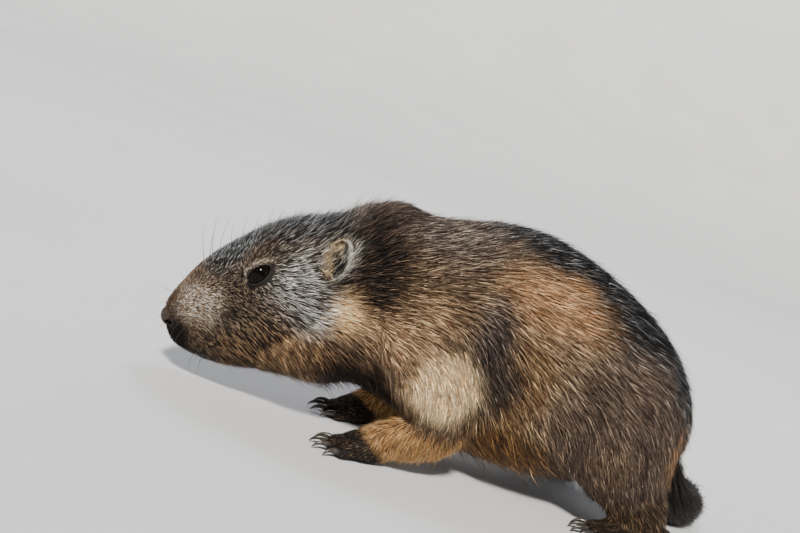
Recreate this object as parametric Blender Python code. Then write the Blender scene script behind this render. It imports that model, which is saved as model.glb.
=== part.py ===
"""An alpine marmot, life size, as a still museum model in four-footed stance.

It leans forward with its nose near the ground, its back arched and its tail laid on the floor.
Metres, +Z up, head towards -X. The origin is at the middle of the footprint, on the floor.
"""

import math
import random

import bmesh
import bpy
import numpy as np
from mathutils import Matrix, Vector
from mathutils.bvhtree import BVHTree

# Driving sizes of the whole animal, to the tips of its coat
GAP = 0.0003            # what neighbouring pieces keep between them
TURN_GAP = 0.0004       # the same, in pieces that turn with the neck
HEAD_TURN = math.radians(16.0)
TURN_STARTS = -0.075    # x where the neck begins to turn to the right
TURN_LENGTH = 0.055
RING_POINTS = 20
BODY_RINGS = 33

# The long coat: a core under flat, tapered locks that lie over one another
CORE_DEPTH = 0.0065     # from the locks' tips down to the core, half of the coat's depth
COAT_STARTS, COAT_FULL = -0.1650, -0.0950      # x between which the coat grows to its full depth
LOCK_SEED = 11
LOCK_SOLVER = "MANIFOLD"
LOCK_SINK = 0.0024
LOCK_THICKNESS = 0.0032
LOCK_UNEVEN = 0.0002
LOCK_SECTIONS = ((0.0, 0.70, 0.0), (0.46, 1.0, 0.58))     # share of the length, the width and the rise
LOCKS_START, LOCKS_END = 0.37, 0.95     # along the body's sections, from nose to rump
LOCK_ROWS = 10
LOCK_SPACING = 0.0290
LOCK_PLACES = 60        # steps round the body from which the locks' roots are measured out
LOCK_LOOK_BACK = 0.03   # share of the body's length to the point that a lock is aimed at
LOCK_DROOP = 0.55       # how strongly the flanks' locks hang down
LOCK_VARIES = 0.12      # share by which the size of the locks varies, and their places round the body
LOCKS_BARE_BELOW = math.radians(26)     # to each side of the belly's middle, which is next to the floor
LOCK_LENGTH = 0.0520
LOCK_WIDTH = 0.0260
ROOT_SEARCH = 0.1       # how far outside a limb or tail the search for its surface starts
LIMB_DEPTH = 0.0045
LIMB_LOCK_LENGTH = 0.0420
LIMB_LOCK_WIDTH = 0.0240
LIMB_LOCK_FAN = math.radians(50)
LIMB_LOCK_BACK = Vector((0.3, 0, 0))
TAIL_DEPTH = 0.0060
TAIL_LOCK_ROWS = 4
TAIL_LOCKS_FROM, TAIL_LOCKS_TO = 0.10, 0.80     # share of the tail's length
TAIL_LOCKS_ROUND = 4
TAIL_LOCK_FAN = math.radians(230)
TAIL_LOCK_LENGTH = 0.0440
TAIL_LOCK_WIDTH = 0.0190

# Sections of the body from nose to rump: top x, z, bottom x, z, half width, height of the widest place,
# squareness
BODY_SECTIONS = (
    (-0.2372, 0.0455, -0.2340, 0.0290, 0.0075, 0.50, 2.2),
    (-0.2348, 0.0535, -0.2298, 0.0260, 0.0112, 0.48, 2.4),
    (-0.2304, 0.0640, -0.2228, 0.0195, 0.0170, 0.46, 2.5),
    (-0.2250, 0.0765, -0.2050, 0.0168, 0.0225, 0.44, 2.6),
    (-0.2150, 0.0915, -0.1850, 0.0185, 0.0275, 0.44, 2.5),
    (-0.1990, 0.1080, -0.1640, 0.0240, 0.0350, 0.46, 2.5),
    (-0.1800, 0.1240, -0.1430, 0.0285, 0.0405, 0.45, 2.4),
    (-0.1600, 0.1355, -0.1250, 0.0315, 0.0435, 0.43, 2.3),
    (-0.1430, 0.1455, -0.1080, 0.0370, 0.0440, 0.43, 2.1),
    (-0.1270, 0.1570, -0.0920, 0.0360, 0.0490, 0.44, 2.1),
    (-0.1120, 0.1640, -0.0760, 0.0310, 0.0550, 0.45, 2.1),
    (-0.0920, 0.1620, -0.0580, 0.0250, 0.0620, 0.45, 2.2),
    (-0.0660, 0.1650, -0.0380, 0.0195, 0.0680, 0.44, 2.2),
    (-0.0380, 0.1715, -0.0140, 0.0160, 0.0735, 0.43, 2.3),
    (-0.0060, 0.1730, 0.0080, 0.0150, 0.0790, 0.42, 2.3),
    (0.0300, 0.1650, 0.0320, 0.0160, 0.0820, 0.42, 2.3),
    (0.0610, 0.1530, 0.0600, 0.0200, 0.0810, 0.43, 2.2),
    (0.0890, 0.1375, 0.0850, 0.0260, 0.0740, 0.44, 2.1),
    (0.1110, 0.1170, 0.1050, 0.0330, 0.0620, 0.45, 2.1),
    (0.1250, 0.0970, 0.1190, 0.0410, 0.0460, 0.46, 2.0),
    (0.1325, 0.0780, 0.1285, 0.0500, 0.0280, 0.50, 2.0),
)

# Where the body is parted: top x, z and bottom x, z of each cut
HEAD_CUT = (-0.1340, 0.1700, -0.1120, 0.0200)
NECK_CUT = (-0.1100, 0.1800, -0.0880, 0.0100)

# Head
EYE_X, EYE_Z = -0.1823, 0.0887
EYE_RADIUS = 0.0082
EYE_SUNK = 0.0056       # how far the eye's middle is below the coat
LID_THICKNESS = 0.0014
LID_OPENING = Vector((0.0084, 0.0060, 0.0053))
LID_SLANT = math.radians(-56)
NOSE_PLACE = Vector((-0.2324, 0.0, 0.0365))
NOSE_SIZE = Vector((0.0070, 0.0098, 0.0080))
NOSTRIL_X, NOSTRIL_Z = -0.2302, 0.0345          # on the nose's side, where it meets the muzzle
NOSTRIL_SIZE = Vector((0.0026, 0.0045, 0.0017))
EAR_X, EAR_Z = -0.1388, 0.1150
EAR_SUNK = 0.0010
EAR_HEIGHT = 0.0290
EAR_WIDTH = 0.0190
EAR_DEPTH = 0.0090
EAR_WALL = 0.0024
EAR_HOLLOW = Vector((-0.0056, 0, 0.0012))       # from the middle of the cup to the middle of its hollow
EAR_OUTWARDS = math.radians(56)
EAR_BACK = math.radians(20)
MOUTH_FRONT = Vector((-0.2105, 0.0, 0.0150))     # where the lips part under the nose
MOUTH_CORNER = Vector((-0.1945, 0.0, 0.0365))
MOUTH_SLOT = 0.0010
MOUTH_UNCUT = Vector((0.0200, 0.0205, 0.0205))   # what the slot leaves whole between its sides

# Legs: a path of (x, y, z, half thickness, half breadth), for the left side with y taken outwards
UPPER_ARM = (
    (-0.0900, 0.0400, 0.1020, 0.0260, 0.0160),
    (-0.0740, 0.0480, 0.0760, 0.0310, 0.0200),
    (-0.0580, 0.0500, 0.0550, 0.0270, 0.0190),
    (-0.0430, 0.0490, 0.0410, 0.0160, 0.0140),
)
FOREARM = (
    (-0.0415, 0.0490, 0.0370, 0.0120, 0.0110),
    (-0.0520, 0.0490, 0.0300, 0.0165, 0.0140),
    (-0.0720, 0.0475, 0.0220, 0.0165, 0.0140),
    (-0.0890, 0.0450, 0.0160, 0.0125, 0.0130),
)
FOREPAW_PALM = (
    (-0.0830, 0.0450, 0.0122, 0.0105, 0.0115),
    (-0.0900, 0.0445, 0.0106, 0.0115, 0.0140),
    (-0.0990, 0.0440, 0.0085, 0.0095, 0.0155),
    (-0.1050, 0.0435, 0.0066, 0.0070, 0.0140),
)
THIGH = (
    (0.0560, 0.0440, 0.1100, 0.0380, 0.0270),
    (0.0620, 0.0520, 0.0880, 0.0480, 0.0340),
    (0.0700, 0.0560, 0.0640, 0.0450, 0.0320),
    (0.0800, 0.0600, 0.0420, 0.0320, 0.0250),
)
SHANK = (
    (0.0850, 0.0620, 0.0400, 0.0240, 0.0170),
    (0.0910, 0.0650, 0.0290, 0.0225, 0.0160),
    (0.0970, 0.0680, 0.0180, 0.0205, 0.0150),
)
HINDPAW_SOLE = (
    (0.1200, 0.0690, 0.0105, 0.0085, 0.0095),
    (0.1120, 0.0690, 0.0098, 0.0106, 0.0130),
    (0.0960, 0.0700, 0.0090, 0.0100, 0.0150),
    (0.0810, 0.0710, 0.0075, 0.0085, 0.0155),
    (0.0730, 0.0715, 0.0058, 0.0065, 0.0140),
)
UPPER_RINGS, UPPER_SIDES = 6, 12
LOWER_RINGS, LOWER_SIDES = 5, 10
PAW_RINGS, PAW_SIDES = 4, 10
FOREPAW_TOES = 4
HINDPAW_TOES = 5
TOE_LENGTH = 0.0120
TOE_RADIUS = 0.0040
CLAW_LENGTH = 0.0105
CLAW_RADIUS = 0.0019

# How far each leg stands from the left pattern: along x, outwards along y
STANCES = {
    "fore_left": (0.0, 0.0),
    "fore_right": (0.0120, -0.0040),
    "hind_left": (0.0, 0.0),
    "hind_right": (-0.0100, 0.0),
}

# Tail: x, y, z, half thickness, half breadth. It drops to the floor and bends round to the right
TAIL_RINGS, TAIL_SIDES = 13, 12
TAIL_PATH = (
    (0.1220, 0.0000, 0.0640, 0.0170, 0.0180),
    (0.1335, 0.0010, 0.0440, 0.0185, 0.0200),
    (0.1470, 0.0060, 0.0275, 0.0190, 0.0220),
    (0.1630, 0.0180, 0.0190, 0.0185, 0.0235),
    (0.1780, 0.0380, 0.0165, 0.0170, 0.0230),
    (0.1900, 0.0610, 0.0145, 0.0150, 0.0190),
    (0.1990, 0.0820, 0.0110, 0.0090, 0.0110),
)
TAIL_PARTED = 0.42      # share of the tail's length, at its bend

# Cutters reach well past whatever they cut
CUTTER_REACH = 0.4
FLOOR_CUTTER = Vector((1.2, 1.0, 0.1))


def catmull(rows, t):
    """The row at t, from 0 to 1, on a smooth curve through all the rows."""
    place = t * (len(rows) - 1)
    i = min(int(place), len(rows) - 2)
    u = place - i
    before, start, end, after = (
        np.array(rows[min(max(j, 0), len(rows) - 1)]) for j in (i - 1, i, i + 1, i + 2)
    )
    return 0.5 * (
        2 * start
        + (end - before) * u
        + (2 * before - 5 * start + 4 * end - after) * u * u
        + (3 * start - before - 3 * end + after) * u ** 3
    )


def power(value, exponent):
    return math.copysign(abs(value) ** exponent, value)


def coat_share(x):
    """How much of the coat's full depth there is at x, from none on the face to all behind the neck."""
    share = min(max((x - COAT_STARTS) / (COAT_FULL - COAT_STARTS), 0.0), 1.0)
    return share * share * (3 - 2 * share)


def body_point(t, angle, depth=0.0):
    """A point of the straight body: t runs from nose to rump, angle from the back round a section."""
    top_x, top_z, bottom_x, bottom_z, half_width, widest, squareness = catmull(BODY_SECTIONS, t)
    top, bottom = Vector((top_x, 0, top_z)), Vector((bottom_x, 0, bottom_z))
    sunk = depth * coat_share((top_x + bottom_x) / 2)
    up = (top - bottom).normalized()
    top, bottom = top - up * sunk, bottom + up * sunk
    axis = top - bottom
    rise = power(math.cos(angle), 2 / squareness)
    side = power(math.sin(angle), 2 / squareness)
    share = 1 - widest if rise > 0 else widest
    return bottom + axis * (widest + rise * share) + Vector((0, (half_width - sunk) * side, 0))


def tube_ring(row, direction, grow, count):
    """Points round one section of a leg or tail, square to its direction."""
    x, y, z, thick, broad = row
    side = Vector((0, 1, 0))
    side = (side - direction * side.dot(direction)).normalized()
    up = direction.cross(side)
    ring = []
    for k in range(count):
        angle = 2 * math.pi * k / count
        ring.append(
            Vector((x, y, z))
            + up * math.cos(angle) * (thick + grow)
            + side * math.sin(angle) * (broad + grow)
        )
    return ring


def new_object(name, mesh):
    obj = bpy.data.objects.new(name, mesh)
    PARTS.objects.link(obj)
    return obj


def loft(name, rings, ends=None):
    """One closed body through rings of equal count, its ends closed on a point each."""
    bm = bmesh.new()
    rows = [[bm.verts.new(p) for p in ring] for ring in rings]
    count = len(rings[0])
    for a, b in zip(rows, rows[1:]):
        for k in range(count):
            n = (k + 1) % count
            bm.faces.new((a[k], a[n], b[n], b[k]))
    for j, row in enumerate((rows[0], rows[-1])):
        middle = sum((v.co for v in row), Vector()) / count
        tip = bm.verts.new(ends[j] if ends else middle)
        for k in range(count):
            bm.faces.new((row[k], row[(k + 1) % count], tip))
    bmesh.ops.recalc_face_normals(bm, faces=bm.faces)
    mesh = bpy.data.meshes.new(name)
    bm.to_mesh(mesh)
    bm.free()
    return new_object(name, mesh)


def tube(name, path, rings, count=12, grow=0.0, domed=True):
    """A leg or tail piece: round sections along a smooth path, with domed or pointed ends."""
    rows = [catmull(path, i / (rings - 1)) for i in range(rings)]
    points = [Vector(row[:3]) for row in rows]
    made = []
    for i, row in enumerate(rows):
        ahead = points[min(i + 1, rings - 1)] - points[max(i - 1, 0)]
        made.append(tube_ring(row, ahead.normalized(), grow, count))
    if not domed:
        return loft(name, made)
    starts = (points[0] - points[1]).normalized()
    stops = (points[-1] - points[-2]).normalized()
    dome_in, dome_out = (0.45 * min(rows[j][3:]) for j in (0, -1))
    caps = []
    for end, direction, dome in ((0, starts, dome_in), (-1, stops, dome_out)):
        centre = points[end] + direction * (dome + grow) * 0.75
        inner = [centre + (p - points[end]) * 0.62 for p in made[end]]
        caps.append((inner, points[end] + direction * (dome + grow)))
    made = [caps[0][0], *made, caps[1][0]]
    return loft(name, made, [caps[0][1], caps[1][1]])


def ball(name, place, size, segments=16, rings=10):
    mesh = bpy.data.meshes.new(name)
    bm = bmesh.new()
    bmesh.ops.create_uvsphere(bm, u_segments=segments, v_segments=rings, radius=1.0)
    bmesh.ops.scale(bm, vec=size, verts=bm.verts)
    bmesh.ops.translate(bm, vec=place, verts=bm.verts)
    bm.to_mesh(mesh)
    bm.free()
    return new_object(name, mesh)


def heading_after(reach):
    """How far the neck has turned at this distance into the turn."""
    share = min(max(reach / TURN_LENGTH, 0.0), 1.0)
    return HEAD_TURN * share * share * (3 - 2 * share)


def turned(point):
    """Where a point of the straight body goes as the head and neck turn to the right."""
    reach = TURN_STARTS - point.x
    if reach <= 0:
        return point
    steps = 24
    x, y = TURN_STARTS, 0.0
    for k in range(steps):
        heading = heading_after((k + 0.5) / steps * reach)
        x -= math.cos(heading) * reach / steps
        y += math.sin(heading) * reach / steps
    heading = heading_after(reach)
    return Vector((x + point.y * math.sin(heading), y + point.y * math.cos(heading), point.z))


def turn(obj):
    for vertex in obj.data.vertices:
        vertex.co = turned(vertex.co)
    return obj


def sheet(name, top, bottom, thickness, width=CUTTER_REACH, height=CUTTER_REACH):
    """A flat sheet across the body, on the line from bottom to top in the middle plane."""
    up = (top - bottom).normalized()
    mesh = bpy.data.meshes.new(name)
    bm = bmesh.new()
    bmesh.ops.create_cube(bm, size=1.0)
    bmesh.ops.scale(bm, vec=(thickness, width, height), verts=bm.verts)
    lean = Matrix((Vector((0, 1, 0)).cross(up), Vector((0, 1, 0)), up)).transposed()
    place = Matrix.Translation((top + bottom) / 2) @ lean.to_4x4()
    bmesh.ops.transform(bm, matrix=place, verts=bm.verts)
    bm.to_mesh(mesh)
    bm.free()
    return new_object(name, mesh)


def slab(name, cut, thickness):
    """A thin sheet right across the body that parts it, and that turns with the neck."""
    top, bottom = Vector((cut[0], 0, cut[1])), Vector((cut[2], 0, cut[3]))
    middle = (top + bottom) / 2
    made = sheet(name, top, bottom, thickness)
    heading = Matrix.Rotation(-heading_after(TURN_STARTS - middle.x), 4, "Z")
    made.data.transform(Matrix.Translation(turned(middle)) @ heading @ Matrix.Translation(-middle))
    return made


def slab_across(name, path, share, thickness):
    """A thin sheet that parts a tail square to its path."""
    made = sheet(name, Vector((0, 0, 1)), Vector((0, 0, -1)), thickness)
    way = ahead_on(path, share).to_track_quat("X", "Z").to_matrix().to_4x4()
    made.data.transform(Matrix.Translation(catmull(path, share)[:3]) @ way)
    return made


def applied(obj):
    """The object with its modifiers made part of its mesh."""
    bpy.context.view_layer.update()
    graph = bpy.context.evaluated_depsgraph_get()
    made = bpy.data.meshes.new_from_object(obj.evaluated_get(graph))
    obj.modifiers.clear()
    obj.data = made
    return obj


def cut_with(obj, cutters, operation="DIFFERENCE", solver="EXACT"):
    """One Boolean for each cutter, applied, and the cutter removed."""
    for cutter in cutters:
        modifier = obj.modifiers.new(operation.lower(), "BOOLEAN")
        modifier.operation = operation
        modifier.solver = solver
        modifier.object = cutter
        applied(obj)
        bpy.data.objects.remove(cutter)
    return obj


def joined(obj, pieces, solver="EXACT"):
    """The pieces fused into obj by one Boolean union on a collection."""
    extra = bpy.data.collections.new("pieces_to_join")
    bpy.context.scene.collection.children.link(extra)
    for piece in pieces:
        PARTS.objects.unlink(piece)
        extra.objects.link(piece)
    modifier = obj.modifiers.new("union", "BOOLEAN")
    modifier.operation = "UNION"
    modifier.solver = solver
    modifier.operand_type = "COLLECTION"
    modifier.collection = extra
    applied(obj)
    for piece in list(extra.objects):
        bpy.data.objects.remove(piece)
    bpy.data.collections.remove(extra)
    return largest_only(obj)


def islands_of(bm):
    """The separate closed surfaces of a mesh, as lists of faces."""
    bm.faces.ensure_lookup_table()
    left, found = set(bm.faces), []
    while left:
        island, front = [], [left.pop()]
        while front:
            face = front.pop()
            island.append(face)
            for edge in face.edges:
                for other in edge.link_faces:
                    if other in left:
                        left.remove(other)
                        front.append(other)
        found.append(island)
    return found


def volume_of(faces):
    total = 0.0
    for face in faces:
        first, *rest = (loop.vert.co for loop in face.loops)
        for a, b in zip(rest, rest[1:]):
            total += first.dot(a.cross(b)) / 6
    return total


def largest_only(obj):
    """Keeps the largest closed surface, which drops scraps and fills sealed hollows."""
    bm = bmesh.new()
    bm.from_mesh(obj.data)
    found = islands_of(bm)
    if len(found) > 1:
        found.sort(key=volume_of)
        dropped = [face for island in found[:-1] for face in island]
        bmesh.ops.delete(bm, geom=dropped, context="FACES")
        bm.to_mesh(obj.data)
    bm.free()
    return obj


def split_by(obj, cutter, names):
    """The two bodies that a thin slab leaves, named from the head end backwards."""
    cut_with(obj, [cutter], solver=LOCK_SOLVER)
    bm = bmesh.new()
    bm.from_mesh(obj.data)
    found = sorted(islands_of(bm), key=volume_of)[-2:]
    found.sort(key=lambda faces: sum(f.calc_center_median().x for f in faces) / len(faces))
    made = []
    for name, keep in zip(names, found):
        copy = bm.copy()
        copy.faces.ensure_lookup_table()
        kept = {face.index for face in keep}
        dropped = [face for face in copy.faces if face.index not in kept]
        bmesh.ops.delete(copy, geom=dropped, context="FACES")
        mesh = bpy.data.meshes.new(name)
        copy.to_mesh(mesh)
        copy.free()
        made.append(new_object(name, mesh))
    bm.free()
    bpy.data.objects.remove(obj)
    return made


def material(name, colour, roughness, metallic=0.0):
    made = bpy.data.materials.new(name)
    made.use_nodes = True
    shader = made.node_tree.nodes["Principled BSDF"]
    shader.inputs["Base Color"].default_value = (*colour, 1.0)
    shader.inputs["Roughness"].default_value = roughness
    shader.inputs["Metallic"].default_value = metallic
    return made


def finish(obj, look):
    obj.data.materials.clear()
    obj.data.materials.append(look)
    obj.data.shade_smooth()
    obj.data.set_sharp_from_angle(angle=math.radians(50))


def clear_scene():
    for obj in list(bpy.data.objects):
        bpy.data.objects.remove(obj)


clear_scene()
PARTS = bpy.data.collections.new("alpine_marmot")
bpy.context.scene.collection.children.link(PARTS)
FUR_DARK = material("fur_dark", (0.11, 0.08, 0.06), 0.85)
FUR_TAWNY = material("fur_tawny", (0.33, 0.22, 0.13), 0.85)
FUR_GREY = material("fur_grey", (0.25, 0.23, 0.21), 0.85)
FUR_BUFF = material("fur_buff", (0.50, 0.38, 0.25), 0.85)
EYE_BLACK = material("eye_black", (0.008, 0.006, 0.005), 0.08)
NOSE_BLACK = material("nose_black", (0.03, 0.025, 0.022), 0.45)
CLAW_HORN = material("claw_horn", (0.045, 0.038, 0.032), 0.40)


# The body from nose to rump, one smooth form
def body_form(name, depth):
    rings = []
    for i in range(BODY_RINGS):
        angles = [2 * math.pi * k / RING_POINTS for k in range(RING_POINTS)]
        rings.append([body_point(i / (BODY_RINGS - 1), angle, depth) for angle in angles])
    return loft(name, rings)


# Locks
def tree_of(obj):
    bm = bmesh.new()
    bm.from_mesh(obj.data)
    made = BVHTree.FromBMesh(bm)
    bm.free()
    return made


def uneven(point):
    """The point moved a little, so that no two locks share a plane."""
    return point + Vector([random.uniform(-LOCK_UNEVEN, LOCK_UNEVEN) for _ in range(3)])


def lock(tree, root, ahead, length, width, rise, sink=LOCK_SINK, thickness=LOCK_THICKNESS):
    """One flat, tapered lock, rooted in a surface, that bends along it and rises to its tip."""
    place, normal, _, _ = tree.find_nearest(root)
    ahead = (ahead - normal * ahead.dot(normal)).normalized()
    rings, gone = [], 0.0
    for share, breadth, height in LOCK_SECTIONS:
        target = place + ahead * (share - gone) * length
        moved, normal, _, _ = tree.find_nearest(target)
        if gone < share:
            ahead = (moved - place).normalized()
        place, gone = moved, share
        across = normal.cross(ahead).normalized() * width * breadth / 2
        lift = rise * height - sink * (1 - height)
        half = thickness / 2 * (1 - 0.45 * share)
        edges = []
        for way in (-1, 1):
            edge, edge_normal, _, _ = tree.find_nearest(place + across * way)
            edges.append(uneven(edge + edge_normal * (lift - half)))
        rings.append([edges[0], uneven(place + normal * (lift + half)), edges[1]])
    end, normal, _, _ = tree.find_nearest(place + ahead * (1 - gone) * length)
    return loft("lock", rings, [sum(rings[0], Vector()) / 3, end + normal * rise])


def body_locks(tree):
    """Locks in staggered rows round the body, that lie back along it and down its sides."""
    made = []
    for row in range(LOCK_ROWS):
        t = LOCKS_START + (LOCKS_END - LOCKS_START) * row / (LOCK_ROWS - 1)
        around = [body_point(t, 2 * math.pi * k / LOCK_PLACES) for k in range(LOCK_PLACES + 1)]
        reach = [0.0]
        for a, b in zip(around, around[1:]):
            reach.append(reach[-1] + (b - a).length)
        count = max(round(reach[-1] / LOCK_SPACING), 6)
        for k in range(count):
            share_round = (k + row % 2 / 2 + random.uniform(-LOCK_VARIES, LOCK_VARIES)) / count
            wanted = share_round * reach[-1] % reach[-1]
            angle = float(np.interp(wanted, reach, range(LOCK_PLACES + 1))) / LOCK_PLACES * 2 * math.pi
            if abs(angle - math.pi) < LOCKS_BARE_BELOW:
                continue
            forward = t + random.uniform(-0.006, 0.006)
            root, behind = body_point(forward, angle), body_point(forward + LOCK_LOOK_BACK, angle)
            share = coat_share(root.x)
            flank = abs(math.sin(angle)) * share
            ahead = (behind - root).normalized() + Vector((0, 0, -LOCK_DROOP * flank))
            size = random.uniform(1 - LOCK_VARIES, 1 + LOCK_VARIES) * (0.6 + 0.4 * share)
            rise = CORE_DEPTH * share * random.uniform(0.86, 1.0)
            start = turned(root)
            heading = (turned(root + ahead * 0.01) - start).normalized()
            made.append(lock(tree, start, heading, LOCK_LENGTH * size, LOCK_WIDTH * size, rise))
    return made


def ahead_on(path, share):
    return Vector(catmull(path, min(share + 0.1, 1.0))[:3]) - Vector(catmull(path, share)[:3])


def limb_locks(tree, path, side, shares, fan):
    """Locks down the outer side of an upper leg, in staggered rows."""
    made = []
    for row, share in enumerate(shares):
        centre = Vector(catmull(path, share)[:3])
        for k in range(fan):
            angle = LIMB_LOCK_FAN * (k - (fan - 1) / 2 + (row % 2 - 0.5) / 2)
            root = centre + Vector((math.sin(angle), side * math.cos(angle), 0)) * ROOT_SEARCH
            ahead = ahead_on(path, share).normalized() + LIMB_LOCK_BACK
            size = random.uniform(0.90, 1.10)
            rise = LIMB_DEPTH * random.uniform(0.85, 1.0)
            made.append(lock(tree, root, ahead, LIMB_LOCK_LENGTH * size, LIMB_LOCK_WIDTH * size, rise))
    return made


def tail_locks(tree):
    """Long locks round the tail, except under it, that lie towards its tip."""
    made = []
    for row in range(TAIL_LOCK_ROWS):
        share = TAIL_LOCKS_FROM + (TAIL_LOCKS_TO - TAIL_LOCKS_FROM) * row / (TAIL_LOCK_ROWS - 1)
        centre, ahead = Vector(catmull(TAIL_PATH, share)[:3]), ahead_on(TAIL_PATH, share)
        across = Vector((0, 0, 1)).cross(ahead).normalized()
        for k in range(TAIL_LOCKS_ROUND):
            angle = TAIL_LOCK_FAN * ((k + row % 2 / 2) / (TAIL_LOCKS_ROUND - 0.5) - 0.5)
            root = centre + (across * math.sin(angle) + Vector((0, 0, math.cos(angle)))) * ROOT_SEARCH
            size = random.uniform(0.90, 1.10)
            rise = TAIL_DEPTH * random.uniform(0.85, 1.0)
            made.append(lock(tree, root, ahead, TAIL_LOCK_LENGTH * size, TAIL_LOCK_WIDTH * size, rise))
    return made


def coated(core, locks, outline):
    """The core with its locks, all inside the outline that its neighbours leave free."""
    joined(core, locks, LOCK_SOLVER)
    return cut_with(core, [outline], "INTERSECT", LOCK_SOLVER)


def leg_path(rows, side, stance):
    """A leg's path on its own side, moved as that leg stands."""
    along, outwards = STANCES[stance]
    return [(x + along, side * (y + outwards), z, a, b) for x, y, z, a, b in rows]


def toes_of(paw_end, count, side, spread, splay):
    """Where each toe starts and the way that it points, from the inner to the outer one."""
    toes = []
    for k in range(count):
        share = k / (count - 1) * 2 - 1
        start = Vector((paw_end[0], paw_end[1] + side * share * spread, paw_end[2]))
        start.x += abs(share) ** 2 * 0.004
        angle = side * share * splay
        toes.append((start, Vector((-math.cos(angle), math.sin(angle), 0))))
    return toes


def toe_and_claw(name, start, ahead, index):
    """One toe, arched and set down at its tip, with the claw and the claw's socket."""
    length = TOE_LENGTH * (1.0 - 0.08 * abs(index - 1.5))
    toe_rows, claw_rows = [], []
    for share, height, radius in ((-0.35, 0.0062, 0.9), (0.35, 0.0064, 1.0), (1.0, 0.0034, 0.92)):
        p = start + ahead * length * share
        toe_rows.append((p.x, p.y, height, TOE_RADIUS * radius, TOE_RADIUS * radius))
    root = start + ahead * (length + 0.0010)
    for share, height, radius in ((0.0, 0.0050, 1.0), (0.5, 0.0048, 0.8), (1.0, 0.0016, 0.25)):
        p = root + ahead * CLAW_LENGTH * share
        claw_rows.append((p.x, p.y, height, CLAW_RADIUS * radius, CLAW_RADIUS * radius * 0.8))
    toe = tube(name + "_toe", toe_rows, 3, 5)
    claw = tube(name, claw_rows, 4, 5, domed=False)
    socket = tube(name + "_socket", claw_rows, 4, 5, GAP)
    return toe, claw, socket


def floor_box():
    return sheet("floor_box", Vector((0, 0, 0)), Vector((0, 0, -FLOOR_CUTTER.z)), *FLOOR_CUTTER)


def paw(name, pattern, side, stance, toe_count, spread, splay):
    path = leg_path(pattern, side, stance)
    palm = tube(name, path, PAW_RINGS, PAW_SIDES)
    toes = toes_of(path[-1], toe_count, side, spread, splay)
    pieces, sockets, claws = [], [], []
    for k, (start, ahead) in enumerate(toes):
        toe, claw, socket = toe_and_claw(f"claw_{name}_{k + 1}", start, ahead, k)
        pieces.append(toe)
        claws.append(claw)
        sockets.append(socket)
    joined(palm, pieces)
    cut_with(palm, [floor_box()])
    cut_with(palm, sockets)
    largest_only(palm)
    finish(palm, FUR_DARK)
    for claw in claws:
        cut_with(claw, [floor_box()])
        finish(claw, CLAW_HORN)
    return palm


def sunk_row(row, side):
    """A row of an upper leg's path, drawn in from its outer side by the depth of the locks."""
    x, y, z, thick, broad = row
    sunk = (LIMB_DEPTH - LOCK_UNEVEN) / 2
    return x, y - side * sunk, z, thick - sunk, broad - sunk - LOCK_UNEVEN


def leg(name, upper, lower, foot, side, stance, toe_count, names, splay, shares, fan):
    """The upper piece, the lower piece and the paw of one leg, each clear of the next."""
    upper_name, lower_name, paw_name = (f"{n}_{name}" for n in names)
    paw_made = paw(paw_name, foot, side, stance, toe_count, foot[-1][4] * 0.74, splay)
    lower_path = leg_path(lower, side, stance)
    lower_made = tube(lower_name, lower_path, LOWER_RINGS, LOWER_SIDES)
    upper_path = leg_path(upper, side, stance)
    core = tube(upper_name, [sunk_row(row, side) for row in upper_path], UPPER_RINGS, UPPER_SIDES)
    locks = limb_locks(tree_of(core), upper_path, side, shares, fan)
    upper_made = coated(core, locks, tube("outline", upper_path, UPPER_RINGS, UPPER_SIDES))
    paw_path = leg_path(foot, side, stance)
    cut_with(lower_made, [tube("paw_room", paw_path, PAW_RINGS, PAW_SIDES, GAP), floor_box()])
    lower_room = tube("lower_room", lower_path, LOWER_RINGS, LOWER_SIDES, GAP)
    paw_room = tube("paw_room", paw_path, PAW_RINGS, PAW_SIDES, GAP)
    cut_with(upper_made, [lower_room, paw_room], solver=LOCK_SOLVER)
    return largest_only(upper_made), largest_only(lower_made), paw_made


def rooms_of_leg(upper, lower, foot, side, stance):
    """What the body leaves free for one leg."""
    rooms = []
    sizes = ((UPPER_RINGS, UPPER_SIDES), (LOWER_RINGS, LOWER_SIDES), (PAW_RINGS, PAW_SIDES))
    for path, (rings, count) in zip((upper, lower, foot), sizes):
        rooms.append(tube("leg_room", leg_path(path, side, stance), rings, count, GAP))
    return rooms


whole = body_form("whole", CORE_DEPTH)

# Head
def beside(obj, x, z, side, sunk):
    """The place on a body's side at this x and z, sunk below its surface."""
    start = Vector((x, side * 0.2, z))
    found, place, _, _ = obj.ray_cast(start, Vector((0, -side, 0)))
    assert found
    return place - Vector((0, side * sunk, 0))


def eye_set(whole, side, hand):
    """One eye in its socket, between lids that stand out a little and slant down to the nose."""
    place = beside(whole, EYE_X, EYE_Z, side, EYE_SUNK)
    eye = ball(f"eye_{hand}", place, Vector((EYE_RADIUS,) * 3), 12, 8)
    lid_size = Vector((EYE_RADIUS + LID_THICKNESS,) * 3)
    joined(whole, [ball("lids", place, lid_size, 12, 8)])
    cut_with(whole, [ball("eye_room", place, Vector((EYE_RADIUS + TURN_GAP,) * 3), 12, 8)])
    opening = ball("lid_opening", Vector((0, 0, 0)), LID_OPENING, 12, 8)
    slant = Matrix.Rotation(LID_SLANT, 4, "Y")
    opening.data.transform(Matrix.Translation(place + Vector((0, side * EYE_RADIUS, 0))) @ slant)
    cut_with(whole, [opening])
    finish(turn(eye), EYE_BLACK)


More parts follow.
